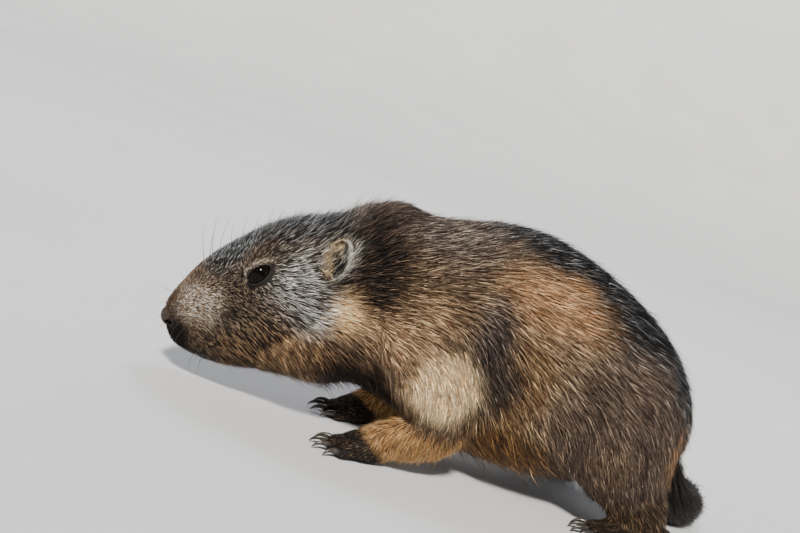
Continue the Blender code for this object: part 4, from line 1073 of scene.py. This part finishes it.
for hand, side in (("left", -1), ("right", 1)):
    here = part_is(f"ear_{hand}")
    forwards, outwards = math.cos(EAR_OUTWARDS - HEAD_TURN * side), side * math.sin(EAR_OUTWARDS)
    facing = unit(np.array((-forwards, outwards, 0.0)))
    low, high = skin_points[here].min(0), skin_points[here].max(0)
    away = skin_points - (low + high) / 2
    rearwards = away @ (facing[1] * side, -facing[0] * side, 0.0)
    faces_out = skin_normals @ facing
    inside = here & (faces_out > EAR_INSIDE)
    skin_mix[here & (rearwards < EAR_FRONT)] = pigment("silver")
    # the rear inside of the cup is painted dark, as painted shade in its hollow
    skin_mix[inside & (rearwards > 0)] = pigment("ear_cup_shade")
    skin_mix[inside & (rearwards <= EAR_BUFF_TO)] = pigment("concha")
    # a pale band round the rear of the ear's rim is painted rim light
    edge = (rearwards / EAR_WIDTH) ** 2 + (away[:, 2] / EAR_HEIGHT) ** 2
    rim = here & (edge > EAR_LIT_RIM_FROM) & (rearwards > 0) & (faces_out > EAR_LIT_RIM)
    skin_mix[rim] = pigment("ear_rim_light")
    # painted shade: a near-black patch in the lips' mix, where the cup's hole lies in shade
    hole = np.stack((rearwards, away[:, 2]), -1) - EAR_HOLE_SHADE
    skin_mix[inside & (((hole / EAR_HOLE_SHADE_SIZE) ** 2).sum(1) < 1)] = pigment("lips")
    ring, up, out = in_lids(hand, side, EYELID_BREADTH)
    skin_mix[(ring < EYELID_EDGE) & (up > EYELID_FROM) & (out > EYE_FRONT)] = pigment("eyelid")
skin_mix = spread_over_skin(skin_mix, 1)

# Skin: its dye, darkened as painted shade between the tufts
# The tanned skin shows only between the tufts. It is dyed like the roots of the hair that grows on it,
# but darker, as painted shade between the tufts, which gives the coat its depth.
# how much darker than the roots the skin is painted, as shade between the tufts
SKIN_SHADE_DARKER = 0.45
GRAIN_LOW, GRAIN_HIGH = 0.82, 1.18      # how much a fine grain darkens and lightens the dye
skin_shaded_colour = np.concatenate((skin_mix[:, 0:3] * SKIN_SHADE_DARKER, np.ones((len(skin_mix), 1))), 1)
skin_shade_dye = skin.data.color_attributes.new("dye", "FLOAT_COLOR", "POINT")
skin_shade_dye.data.foreach_set("color", skin_shaded_colour.astype(np.float32).ravel())


def dyed_surface(name, roughness, specular, grain):
    """A material that takes its colour from the markings' dye, with a fine grain over it."""
    made, nodes, links, shader, noise = plain_surface(name, roughness, specular, grain, detail=3.0)
    dye = nodes.new("ShaderNodeAttribute")
    dye.attribute_name = "dye"
    spread = nodes.new("ShaderNodeMapRange")
    spread.inputs["To Min"].default_value, spread.inputs["To Max"].default_value = GRAIN_LOW, GRAIN_HIGH
    mixed = nodes.new("ShaderNodeMix")
    mixed.data_type, mixed.blend_type = "RGBA", "MULTIPLY"
    mixed.inputs["Factor"].default_value = 1.0
    links.new(noise, spread.inputs["Value"])
    links.new(dye.outputs["Color"], mixed.inputs["A"])
    links.new(spread.outputs["Result"], mixed.inputs["B"])
    links.new(mixed.outputs["Result"], shader.inputs["Base Color"])
    return made


# on the skin, the dye carries the painted shade between the tufts
skin.data.materials.append(dyed_surface("skin_under_coat", roughness=0.75, specular=0.25, grain=700.0))
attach(skin, "root")
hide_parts(*[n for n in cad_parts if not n.startswith(("claw_", "eye_", "nose"))])

# Coat: its tufts
# The tanned skin carries its own hair. Here it is laid tuft by tuft: each is a thin, three-sided,
# tapering lock rooted in the skin, bent along the lie, and drawn towards its neighbours' tips.
SHORT_SECTIONS, LONG_SECTIONS = (0.0,), (0.0, 0.42)
SHORT_BELOW = 0.0125    # tufts shorter than this are straight
SHORT_TUFTS, LONG_TUFTS = 104000, 104000
LONG_THINNED = 0.72     # of the breadths in the table of the lie
VARIED = {"length": (0.62, 1.05), "breadth": (0.75, 1.25), "rise": (0.55, 1.12)}    # from tuft to tuft
GUARD_SHARE = 0.11      # of the long tufts, how many are guard hairs that stand out over the rest
GUARD_RISE, GUARD_LONGER, GUARD_FINER = (1.15, 1.75), 1.12, 0.75
HEAD_GUARD_SHARE = 0.07 # the same for the short tufts, where they are longer than this
HEAD_GUARD_FROM, HEAD_GUARD_RISE, HEAD_GUARD_LONGER = 0.0045, (1.3, 2.6), 1.15
STRAY_SHARE = 0.20      # of the tufts of shaggy places, how many stand out further still
STRAY_RISE, STRAY_FINER = (0.2, 1.3), 0.8
SHAGGY = (              # x, z, reach, and how shaggy the coat is there
    (-0.145, 0.034, 0.026, 1.1),        # throat
    (-0.185, 0.022, 0.014, 0.9),        # chin
    (0.000, 0.015, 0.040, 0.3),         # belly
    (-0.050, 0.030, 0.018, 0.4),        # elbow
    (-0.156, 0.138, 0.030, 1.9),        # crown
    (-0.188, 0.116, 0.028, 1.6),        # brow
    (-0.104, 0.165, 0.024, -0.6),       # nape, where it lies closest
)
SHAGGY_RISE, RISE_EVENED = 0.6, 6
EAR_RISE = 0.0014
RISES = (               # parts, and how far their coat stands up from the skin
    ("upper_arm", UPPER_DEPTH), ("thigh", UPPER_DEPTH), ("forearm", LOWER_DEPTH),
    ("shank", LOWER_DEPTH), ("forepaw", PAW_DEPTH), ("hindpaw", PAW_DEPTH), ("tail", TAIL_DEPTH),
    ("ear", EAR_RISE),
)
BARE_LIDS, BARE_NOSE, BARE_NOSTRILS = 0.0005, -0.0006, 0.0008   # how far past each the skin is bare
BARE_SOLES, BARE_FLOOR = 0.0016, 0.0008         # heights under which legs, and the rest, are bare
BARE_LIPS, LIPS_BELOW, LIPS_AHEAD = 0.0006, 0.037, -0.190       # each side of the mouth's line, z, x
REGIONS = (             # x where each stretch of the trunk's coat ends
    (-0.1900, "muzzle"), (-0.1500, "cheek"), (-0.1000, "neck"), (-0.0450, "shoulder"),
    (0.0100, "flank"), (0.0600, "loin"), (math.inf, "rump"),
)
LIMB_REGIONS = {"upper_arm": "foreleg", "forearm": "foreleg", "forepaw": "foreleg", "ear": "ear"}
CLUMP_SIZE = 11
CLUMP_PULL, CLUMP_GAP = (0.05, 0.50), 0.006     # how far tips are drawn together, over what gap
SWING, ROLL = 0.16, 0.30                        # how much tufts stray from the lie, and roll
ROOT_SUNK = 0.0006
KEEPS_NORMAL, KEEPS_LIE = 1.5, 0.8              # how strongly a tuft follows the skin under it
RISE_POWER = 1.5        # tufts leave the skin steeply and level out
TAPERS = {1: (1.0,), 2: (0.75, 0.90)}           # breadth at each section, for tufts of one and of two
KEEL = 0.75             # height of a tuft's section, in half breadths
UV_PATCH = 0.003
UV_MARGIN = (0.02, 0.01)
FLOOR_CLEAR, HIGHEST, BROADEST = 0.0004, 0.1750, 0.0940         # no hair reaches past these
DRAW_SEED = 20
coat_fur = dyed_surface("coat_fur", roughness=0.52, specular=0.22, grain=900.0)
draw = np.random.default_rng(DRAW_SEED)
skin_tree = tree_of(skin_points)

bare = np.zeros(len(skin_points), bool)
for hand, side in (("left", -1), ("right", 1)):
    ring, _, out = in_lids(hand, side, BARE_LIDS)
    bare |= (ring < 1) & (out > EYE_FRONT)
    hole = skin_straight - np.array(NOSTRIL_PLACE) * (1, side, 1)
    bare |= np.linalg.norm(hole / (np.array(NOSTRIL_SIZE) + BARE_NOSTRILS), axis=1) < 1
nose_middle = turned(NOSE_PLACE[None])[0] + origin_shift
bare |= np.linalg.norm((skin_points - nose_middle) / (np.array(NOSE_SIZE) + BARE_NOSE), axis=1) < 1
bare |= (skin_points[:, 2] < BARE_SOLES) & on_limb
bare |= skin_points[:, 2] < BARE_FLOOR
lips = np.abs((skin_straight - np.array(MOUTH_FRONT)) @ np.array(mouth_through)) < BARE_LIPS
bare |= lips & (skin_straight[:, 2] < LIPS_BELOW) & (skin_straight[:, 0] < LIPS_AHEAD)

skin_rise = FACE_DEPTH + (TRUNK_DEPTH - FACE_DEPTH) * coat_share(skin_straight[:, 0])
for name, rise in RISES:
    skin_rise[part_is(name)] = rise
skin_stray = np.zeros(len(skin_points))
for x, z, reach, more in SHAGGY:
    gap = (skin_straight[:, 0] - x) ** 2 + (skin_straight[:, 2] - z) ** 2
    skin_stray += more * np.exp(-gap / reach**2) * ~part_is("tail", "ear")
skin_rise *= 1 + SHAGGY_RISE * skin_stray
skin_rise = spread_over_skin(skin_rise[:, None], RISE_EVENED)[:, 0]


def region_of(part, straight):
    """The coat piece that a root belongs to."""
    name, _, hand = PARTS[part].rpartition("_")
    if name:
        return f"{LIMB_REGIONS.get(name, 'hindleg')}_{hand}"
    if PARTS[part] == "tail":
        return "tail"
    hand = "left" if straight[1] < 0 else "right"
    return next(f"{region}_{hand}" for stops, region in REGIONS if straight[0] < stops)


corner = skin_points[triangles]
area = np.linalg.norm(np.cross(corner[:, 1] - corner[:, 0], corner[:, 2] - corner[:, 0]), axis=1) / 2
face_length = skin_length[triangles].mean(1)
face_breadth = skin_breadth[triangles].mean(1)
short_face = face_length < SHORT_BELOW
expected = np.where(bare[triangles].any(1), 0.0, area / (face_length * face_breadth))
for faces_there, wanted in ((short_face, SHORT_TUFTS), (~short_face, LONG_TUFTS)):
    expected[faces_there] *= wanted / expected[faces_there].sum() * 1.0
count = np.floor(expected + draw.random(len(expected))).astype(int)
root_face = np.repeat(np.arange(len(triangles)), count)
first, second = draw.random((2, len(root_face)))
flip = first + second > 1
first[flip], second[flip] = 1 - first[flip], 1 - second[flip]
weights = np.stack((1 - first - second, first, second), -1)


def at_roots(values):
    """Values of the skin's points, at each root."""
    picked = values[triangles[root_face]]
    return (picked * (weights[..., None] if values.ndim > 1 else weights)).sum(1)


roots, root_normal, root_lie = at_roots(skin_points), unit(at_roots(skin_normals)), at_roots(skin_lie)
root_length = at_roots(skin_length) * draw.uniform(*VARIED["length"], len(roots))
root_breadth = at_roots(skin_breadth) * draw.uniform(*VARIED["breadth"], len(roots))
root_rise = at_roots(skin_rise) * draw.uniform(*VARIED["rise"], len(roots))
root_mix = at_roots(skin_mix)
root_straight = at_roots(skin_straight)
root_vertex = triangles[root_face, weights.argmax(1)]
long_tuft = ~short_face[root_face]
root_breadth[long_tuft] *= LONG_THINNED
guard = long_tuft & (draw.random(len(roots)) < GUARD_SHARE)
root_rise[guard] *= draw.uniform(*GUARD_RISE, guard.sum())
root_length[guard] *= GUARD_LONGER
root_breadth[guard] *= GUARD_FINER
head_guard = ~long_tuft & (root_length > HEAD_GUARD_FROM) & (draw.random(len(roots)) < HEAD_GUARD_SHARE)
root_rise[head_guard] *= draw.uniform(*HEAD_GUARD_RISE, head_guard.sum())
root_length[head_guard] *= HEAD_GUARD_LONGER
strays = draw.random(len(roots)) < STRAY_SHARE * at_roots(skin_stray)
root_rise[strays] *= 1 + draw.uniform(*STRAY_RISE, strays.sum())
root_breadth[strays] *= STRAY_FINER


def lay_tufts(chosen, sections):
    """The middle line of each chosen tuft over the skin, and the lie and the skin's normal along it."""
    place, normal = roots[chosen], root_normal[chosen]
    lie = in_plane(root_lie[chosen], normal)
    swing = draw.normal(0.0, SWING, len(place))[:, None]
    lie = unit(lie + np.cross(normal, lie) * swing)
    length, rise = root_length[chosen, None], root_rise[chosen, None]
    lines, lies, normals = [place - normal * ROOT_SUNK], [lie], [normal]
    gone = 0.0
    for share in (*sections[1:], 1.0):
        place = place + lie * length * (share - gone)
        near = nearest_of(skin_tree, place)
        normal = unit(normal + skin_normals[near] * KEEPS_NORMAL)
        place = place - normal * ((place - skin_points[near]) * normal).sum(1, keepdims=True)
        swung = np.cross(normal, skin_lie[near]) * swing
        lie = in_plane(lie + skin_lie[near] * KEEPS_LIE + swung, normal)
        height = rise * (1 - (1 - share) ** RISE_POWER)
        lines.append(place + normal * height)
        lies.append(lie)
        normals.append(normal)
        gone = share
    return (np.stack(a, 1) for a in (lines, lies, normals))


def drawn_together(lines, sections):
    """The lines pulled towards the tip of one tuft in each clump, most at their own tips."""
    centres = draw.choice(len(lines), max(len(lines) // CLUMP_SIZE, 1), replace=False)
    own = nearest_of(tree_of(lines[centres, 0]), lines[:, 0])
    pull = draw.uniform(*CLUMP_PULL, len(centres))[own][:, None]
    gap = lines[centres[own], -1] - lines[:, -1]
    gap *= np.minimum(1.0, CLUMP_GAP / np.maximum(np.linalg.norm(gap, axis=1, keepdims=True), TINY))
    for j, share in enumerate((*sections, 1.0)):
        lines[:, j] += gap * pull * share**2
    return lines, own


def tuft_mesh(name, lines, lies, normals, breadth, colours, unwrapped):
    """Closed three-sided tapering tufts, as one mesh with its dye and its bake patches."""
    count, steps = lines.shape[0], lines.shape[1] - 1
    across = unit(np.cross(normals[:, :-1], lies[:, :-1]))
    roll = draw.normal(0.0, ROLL, count)[:, None, None]
    across = unit(across + normals[:, :-1] * roll)
    out = unit(np.cross(lies[:, :-1], across))
    half = breadth[:, None, None] / 2 * np.array(TAPERS[steps])[None, :, None]
    body = lines[:, :-1]
    ring = np.stack((body - across * half, body + out * half * KEEL, body + across * half), 2)
    points = np.concatenate((ring.reshape(count, -1, 3), lines[:, -1:]), 1)
    points = np.clip(points, (-1.0, -BROADEST, FLOOR_CLEAR), (1.0, BROADEST, HIGHEST))
    faces = [(0, 2, 1)]
    for j in range(steps - 1):
        for k in range(3):
            n = (k + 1) % 3
            a, b, c, d = j * 3 + k, j * 3 + n, j * 3 + 3 + n, j * 3 + 3 + k
            faces += [(a, b, c), (a, c, d)]
    tip, last = steps * 3, steps * 3 - 3
    faces += [(last + k, last + (k + 1) % 3, tip) for k in range(3)]
    size = points.shape[1]
    every = (np.array(faces)[None] + (np.arange(count) * size)[:, None, None]).reshape(-1, 3)
    mesh = bpy.data.meshes.new(name)
    mesh.vertices.add(count * size)
    mesh.vertices.foreach_set("co", points.astype(np.float32).ravel())
    mesh.loops.add(every.size)
    mesh.loops.foreach_set("vertex_index", every.astype(np.int32).ravel())
    mesh.polygons.add(len(every))
    mesh.polygons.foreach_set("loop_start", np.arange(len(every), dtype=np.int32) * 3)
    mesh.polygons.foreach_set("use_smooth", np.ones(len(every), bool))
    dye = np.concatenate((np.repeat(colours[:, :-1], 3, axis=1), colours[:, -1:]), 1)
    dye = np.concatenate((dye, np.ones((count, size, 1))), 2)
    layer = mesh.color_attributes.new("dye", "FLOAT_COLOR", "POINT")
    layer.data.foreach_set("color", dye.astype(np.float32).ravel())
    shares = np.append(np.repeat(np.arange(steps) / steps, 3), 1.0)
    sides = np.append(np.tile((-0.5, 0.0, 0.5), steps), 0.0)
    patch = unwrapped[:, None] + np.stack((sides, shares - 0.5), -1)[None] * UV_PATCH
    layer = mesh.uv_layers.new(name="OFBake")
    layer.data.foreach_set("uv", patch.reshape(-1, 2)[every.ravel()].astype(np.float32).ravel())
    mesh.update(calc_edges=True)
    mesh.validate()
    mesh.materials.append(coat_fur)
    return in_scene(name, mesh)


INNER_SHARE = 0.35      # of the pale hairs, how many are pale in the middle with a dark tip
TUFT_LIGHT, CLUMP_LIGHT, LIGHT_ENDS = 0.42, 0.14, (-1.1, 0.75)  # how they differ, in powers of e
BAND_DARKER, INNER_PALE, BAND_PALE = 0.85, 0.8, 0.25    # of the band: its tone, and its pale share
BAND_FROM, BAND_TO = 0.05, 0.55         # share of the length between which root turns to band


def banded(chosen, own, shares):
    """The colour of each tuft at its sections, from root to tip."""
    mix = root_mix[chosen]
    root, band, tip, pale_tip = (mix[:, k:k + 3] for k in (0, 3, 6, 9))
    spread = draw.normal(0.0, TUFT_LIGHT, len(mix)) + draw.normal(0.0, CLUMP_LIGHT, own.max() + 1)[own]
    light = np.exp(np.clip(spread, *LIGHT_ENDS))[:, None]
    pale = (draw.random(len(mix)) < mix[:, 12])[:, None]
    inner = pale & (draw.random(len(mix)) < INNER_SHARE)[:, None]
    tip = np.where(pale & ~inner, pale_tip, tip)
    taken = np.where(inner, INNER_PALE, np.where(pale, BAND_PALE, 0.0))
    band = band * BAND_DARKER * (1 - taken) + pale_tip * taken
    made = []
    for share in shares:
        low, high = smooth_share(share, BAND_FROM, BAND_TO), smooth_share(share, BAND_TO, 1.0)
        made.append(((root * (1 - low) + band * low) * (1 - high) + tip * high) * light)
    return np.stack(made, 1)


def spread_out(values):
    """The values, from 0 at the least to 1 at the most."""
    return (values - values.min()) / max(values.max() - values.min(), TINY)


regions = np.array([region_of(p, s) for p, s in zip(skin_part[root_vertex], root_straight)])
for long_ones, sections in ((False, SHORT_SECTIONS), (True, LONG_SECTIONS)):
    chosen = np.flatnonzero(long_tuft == long_ones)
    lines, lies, normals = lay_tufts(chosen, sections)
    lines, own = drawn_together(lines, sections)
    colours = banded(chosen, own, (*sections, 1.0))
    for region in sorted(set(regions[chosen])):
        here = regions[chosen] == region
        root, breadth = root_vertex[chosen[here]], root_breadth[chosen[here]]
        parts, rank = np.unique(skin_part[root], return_inverse=True)
        share, spoke = (
            spread_out(values[root]) * (1 - 2 * margin) + margin
            for values, margin in zip((skin_along, skin_round), UV_MARGIN)
        )
        unwrapped = np.stack(((rank + share) / len(parts), spoke), -1)
        name = f"coat_{region}_{'long' if long_ones else 'short'}"
        tufts = tuft_mesh(
            name, lines[here], lies[here], normals[here], breadth, colours[here], unwrapped
        )
        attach(tufts, "root")

# Whiskers
# Stiff black bristles set in rows in the whisker pads, on the bridge of the nose, over the eye and
# under the chin, each drawn out to a fine point.
WHISKERS = (            # root x, y outwards, z on the straight head, way it points, length
    (-0.2260, 0.0195, 0.0500, (-0.55, 0.80, 0.10), 0.036),
    (-0.2235, 0.0205, 0.0460, (-0.50, 0.85, -0.02), 0.040),
    (-0.2220, 0.0205, 0.0420, (-0.45, 0.85, -0.12), 0.038),
    (-0.2190, 0.0212, 0.0490, (-0.30, 0.90, 0.15), 0.044),
    (-0.2170, 0.0215, 0.0440, (-0.25, 0.92, -0.05), 0.046),
    (-0.2160, 0.0210, 0.0390, (-0.20, 0.90, -0.20), 0.040),
    (-0.2290, 0.0185, 0.0545, (-0.70, 0.55, 0.30), 0.028),
    (-0.2200, 0.0140, 0.0790, (-0.45, 0.25, 0.95), 0.046),
    (-0.2170, 0.0160, 0.0820, (-0.30, 0.30, 0.95), 0.040),
    (-0.2060, 0.0200, 0.0960, (-0.35, 0.40, 0.90), 0.030),
    (-0.1930, 0.0250, 0.1060, (-0.25, 0.50, 0.85), 0.034),
    (-0.1900, 0.0260, 0.1070, (-0.10, 0.50, 0.85), 0.028),
    (-0.2080, 0.0100, 0.0190, (-0.25, 0.30, -0.90), 0.013),
    (-0.2020, 0.0130, 0.0190, (-0.10, 0.40, -0.90), 0.012),
    (-0.1700, 0.0360, 0.0520, (0.10, 0.90, -0.30), 0.026),
)
WHISKER_RADIUS, WHISKER_TAPER = 0.00022, 0.85
WHISKER_SAG, WHISKER_BACK = 0.10, 0.22          # of its length, how far the tip bends down and back
WHISKER_SUNK = 0.003
WHISKER_POINTS, WHISKER_RINGS, WHISKER_SIDES = 9, 12, 6
whisker_bristle = grained_surface(
    "whisker_bristle", roughness=0.35, specular=0.5, grain=90.0,
    dark=(0.010, 0.008, 0.007), light=(0.045, 0.036, 0.030),
)

for hand, side in (("left", -1), ("right", 1)):
    points, faces = [], []
    for x, y, z, way, length in WHISKERS:
        way = unit(np.array(way) * (1, side, 1))
        steps = np.linspace(0, 1, WHISKER_POINTS)
        line = np.array((x, side * y, z)) - way * WHISKER_SUNK + way * (length * steps)[:, None]
        line[:, 2] -= WHISKER_SAG * length * steps**2
        line[:, 0] += WHISKER_BACK * length * steps**2
        radius = WHISKER_RADIUS * (1 - WHISKER_TAPER * steps)
        rows = np.column_stack((turned(line) + origin_shift, radius, radius))
        rounds, ends = tube_rings(rows, 0.0, WHISKER_RINGS, WHISKER_SIDES)
        faces += grid_faces(len(rounds), WHISKER_SIDES, sum(len(p) for p in points))
        points.append(np.concatenate((rounds.reshape(-1, 3), ends)))
    bristles = new_piece(f"whiskers_{hand}", np.concatenate(points), faces)
    bristles.data.shade_smooth()
    bristles.data.materials.append(whisker_bristle)
    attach(bristles, "root")

# Studio
# A plain pale floor that sweeps up behind, one main soft light from the upper left in front of the
# head, a broad fill, and a light from behind and above that draws the edge of the coat.
SWEEP_HALF_WIDTH, SWEEP_NEAR, SWEEP_FAR, SWEEP_HEIGHT = 9.0, -5.0, 7.0, 7.0
SWEEP_BEND, SWEEP_STEPS = 4.5, 16
profile = [(SWEEP_NEAR, 0.0)]
for step in range(SWEEP_STEPS + 1):
    angle = math.pi / 2 * step / SWEEP_STEPS
    y, z = SWEEP_FAR - SWEEP_BEND + SWEEP_BEND * math.sin(angle), SWEEP_BEND * (1 - math.cos(angle))
    profile.append((y, z))
profile.append((SWEEP_FAR, SWEEP_HEIGHT))
sweep = new_piece(
    "studio_sweep",
    [(x, y, z) for y, z in profile for x in (-SWEEP_HALF_WIDTH, SWEEP_HALF_WIDTH)],
    [(2 * i, 2 * i + 1, 2 * i + 3, 2 * i + 2) for i in range(len(profile) - 1)],
)
sweep.data.shade_smooth()
sweep.data.materials.append(grained_surface(
    "studio_paper", roughness=0.85, specular=0.5, grain=3.0,
    dark=(0.66, 0.67, 0.69), light=(0.70, 0.71, 0.73),
))
sweep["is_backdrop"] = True

ROOM_COLOUR, ROOM_STRENGTH = (0.80, 0.86, 1.0, 1.0), 0.22
KEY_FROM, KEY_SPREAD = (-0.50, -1.45, 1.25), math.radians(7)
KEY_POWER, KEY_COLOUR = 6.0, (1.0, 0.95, 0.87)
LIGHTS = (              # name, place, aimed at, size, power, colour
    ("fill", (1.30, -1.60, 0.90), (0.05, 0.0, 0.08), 1.60, 6.0, (0.90, 0.95, 1.0)),
    ("edge", (0.35, 0.90, 2.00), (0.0, 0.0, 0.10), 0.60, 16.0, (0.95, 0.97, 1.0)),
)
world = bpy.data.worlds.new("studio")
world.use_nodes = True
world.node_tree.nodes["Background"].inputs["Color"].default_value = ROOM_COLOUR
world.node_tree.nodes["Background"].inputs["Strength"].default_value = ROOM_STRENGTH
bpy.context.scene.world = world


def hang(name, lamp, place, target):
    """Hangs the lamp at a place, turned to its target."""
    holder = in_scene(name, lamp)
    holder.location = place
    holder.rotation_mode = "QUATERNION"
    holder.rotation_quaternion = (Vector(target) - Vector(place)).to_track_quat("-Z", "Y")


key = bpy.data.lights.new("key", "SUN")
key.energy, key.angle, key.color = KEY_POWER, KEY_SPREAD, KEY_COLOUR
hang("key", key, KEY_FROM, (0.0, 0.0, 0.0))
for name, place, target, size, power, colour in LIGHTS:
    lamp = bpy.data.lights.new(name, "AREA")
    lamp.shape, lamp.size, lamp.energy, lamp.color = "DISK", size, power, colour
    hang(name, lamp, place, target)

# Camera
# It looks at the left side from a little in front and above, and leans, so that the body stands in the
# picture as it does in the photograph.
CAMERA_AZIMUTH, CAMERA_RISE, CAMERA_LEAN = math.radians(-16), math.radians(8), math.radians(20.5)
CAMERA_AIM, CAMERA_DISTANCE = (-0.100, 0.0, 0.1207), 0.88
CAMERA_LENS, CAMERA_FILM, CAMERA_SEES = 60.0, 36.0, (0.01, 50.0)

back = Vector((
    math.sin(CAMERA_AZIMUTH) * math.cos(CAMERA_RISE),
    -math.cos(CAMERA_AZIMUTH) * math.cos(CAMERA_RISE),
    math.sin(CAMERA_RISE),
))
level = Vector((math.cos(CAMERA_AZIMUTH), math.sin(CAMERA_AZIMUTH), 0.0))
right = math.cos(CAMERA_LEAN) * level + math.sin(CAMERA_LEAN) * back.cross(level)
above = back.cross(right)
lens = bpy.data.cameras.new("camera")
lens.lens, lens.sensor_width = CAMERA_LENS, CAMERA_FILM
lens.clip_start, lens.clip_end = CAMERA_SEES
camera = in_scene("camera", lens)
place = Vector(CAMERA_AIM) + Vector(origin_shift) + back * CAMERA_DISTANCE
camera.matrix_world = Matrix.Translation(place) @ Matrix((right, above, back)).transposed().to_4x4()
bpy.context.scene.camera = camera

low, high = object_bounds()
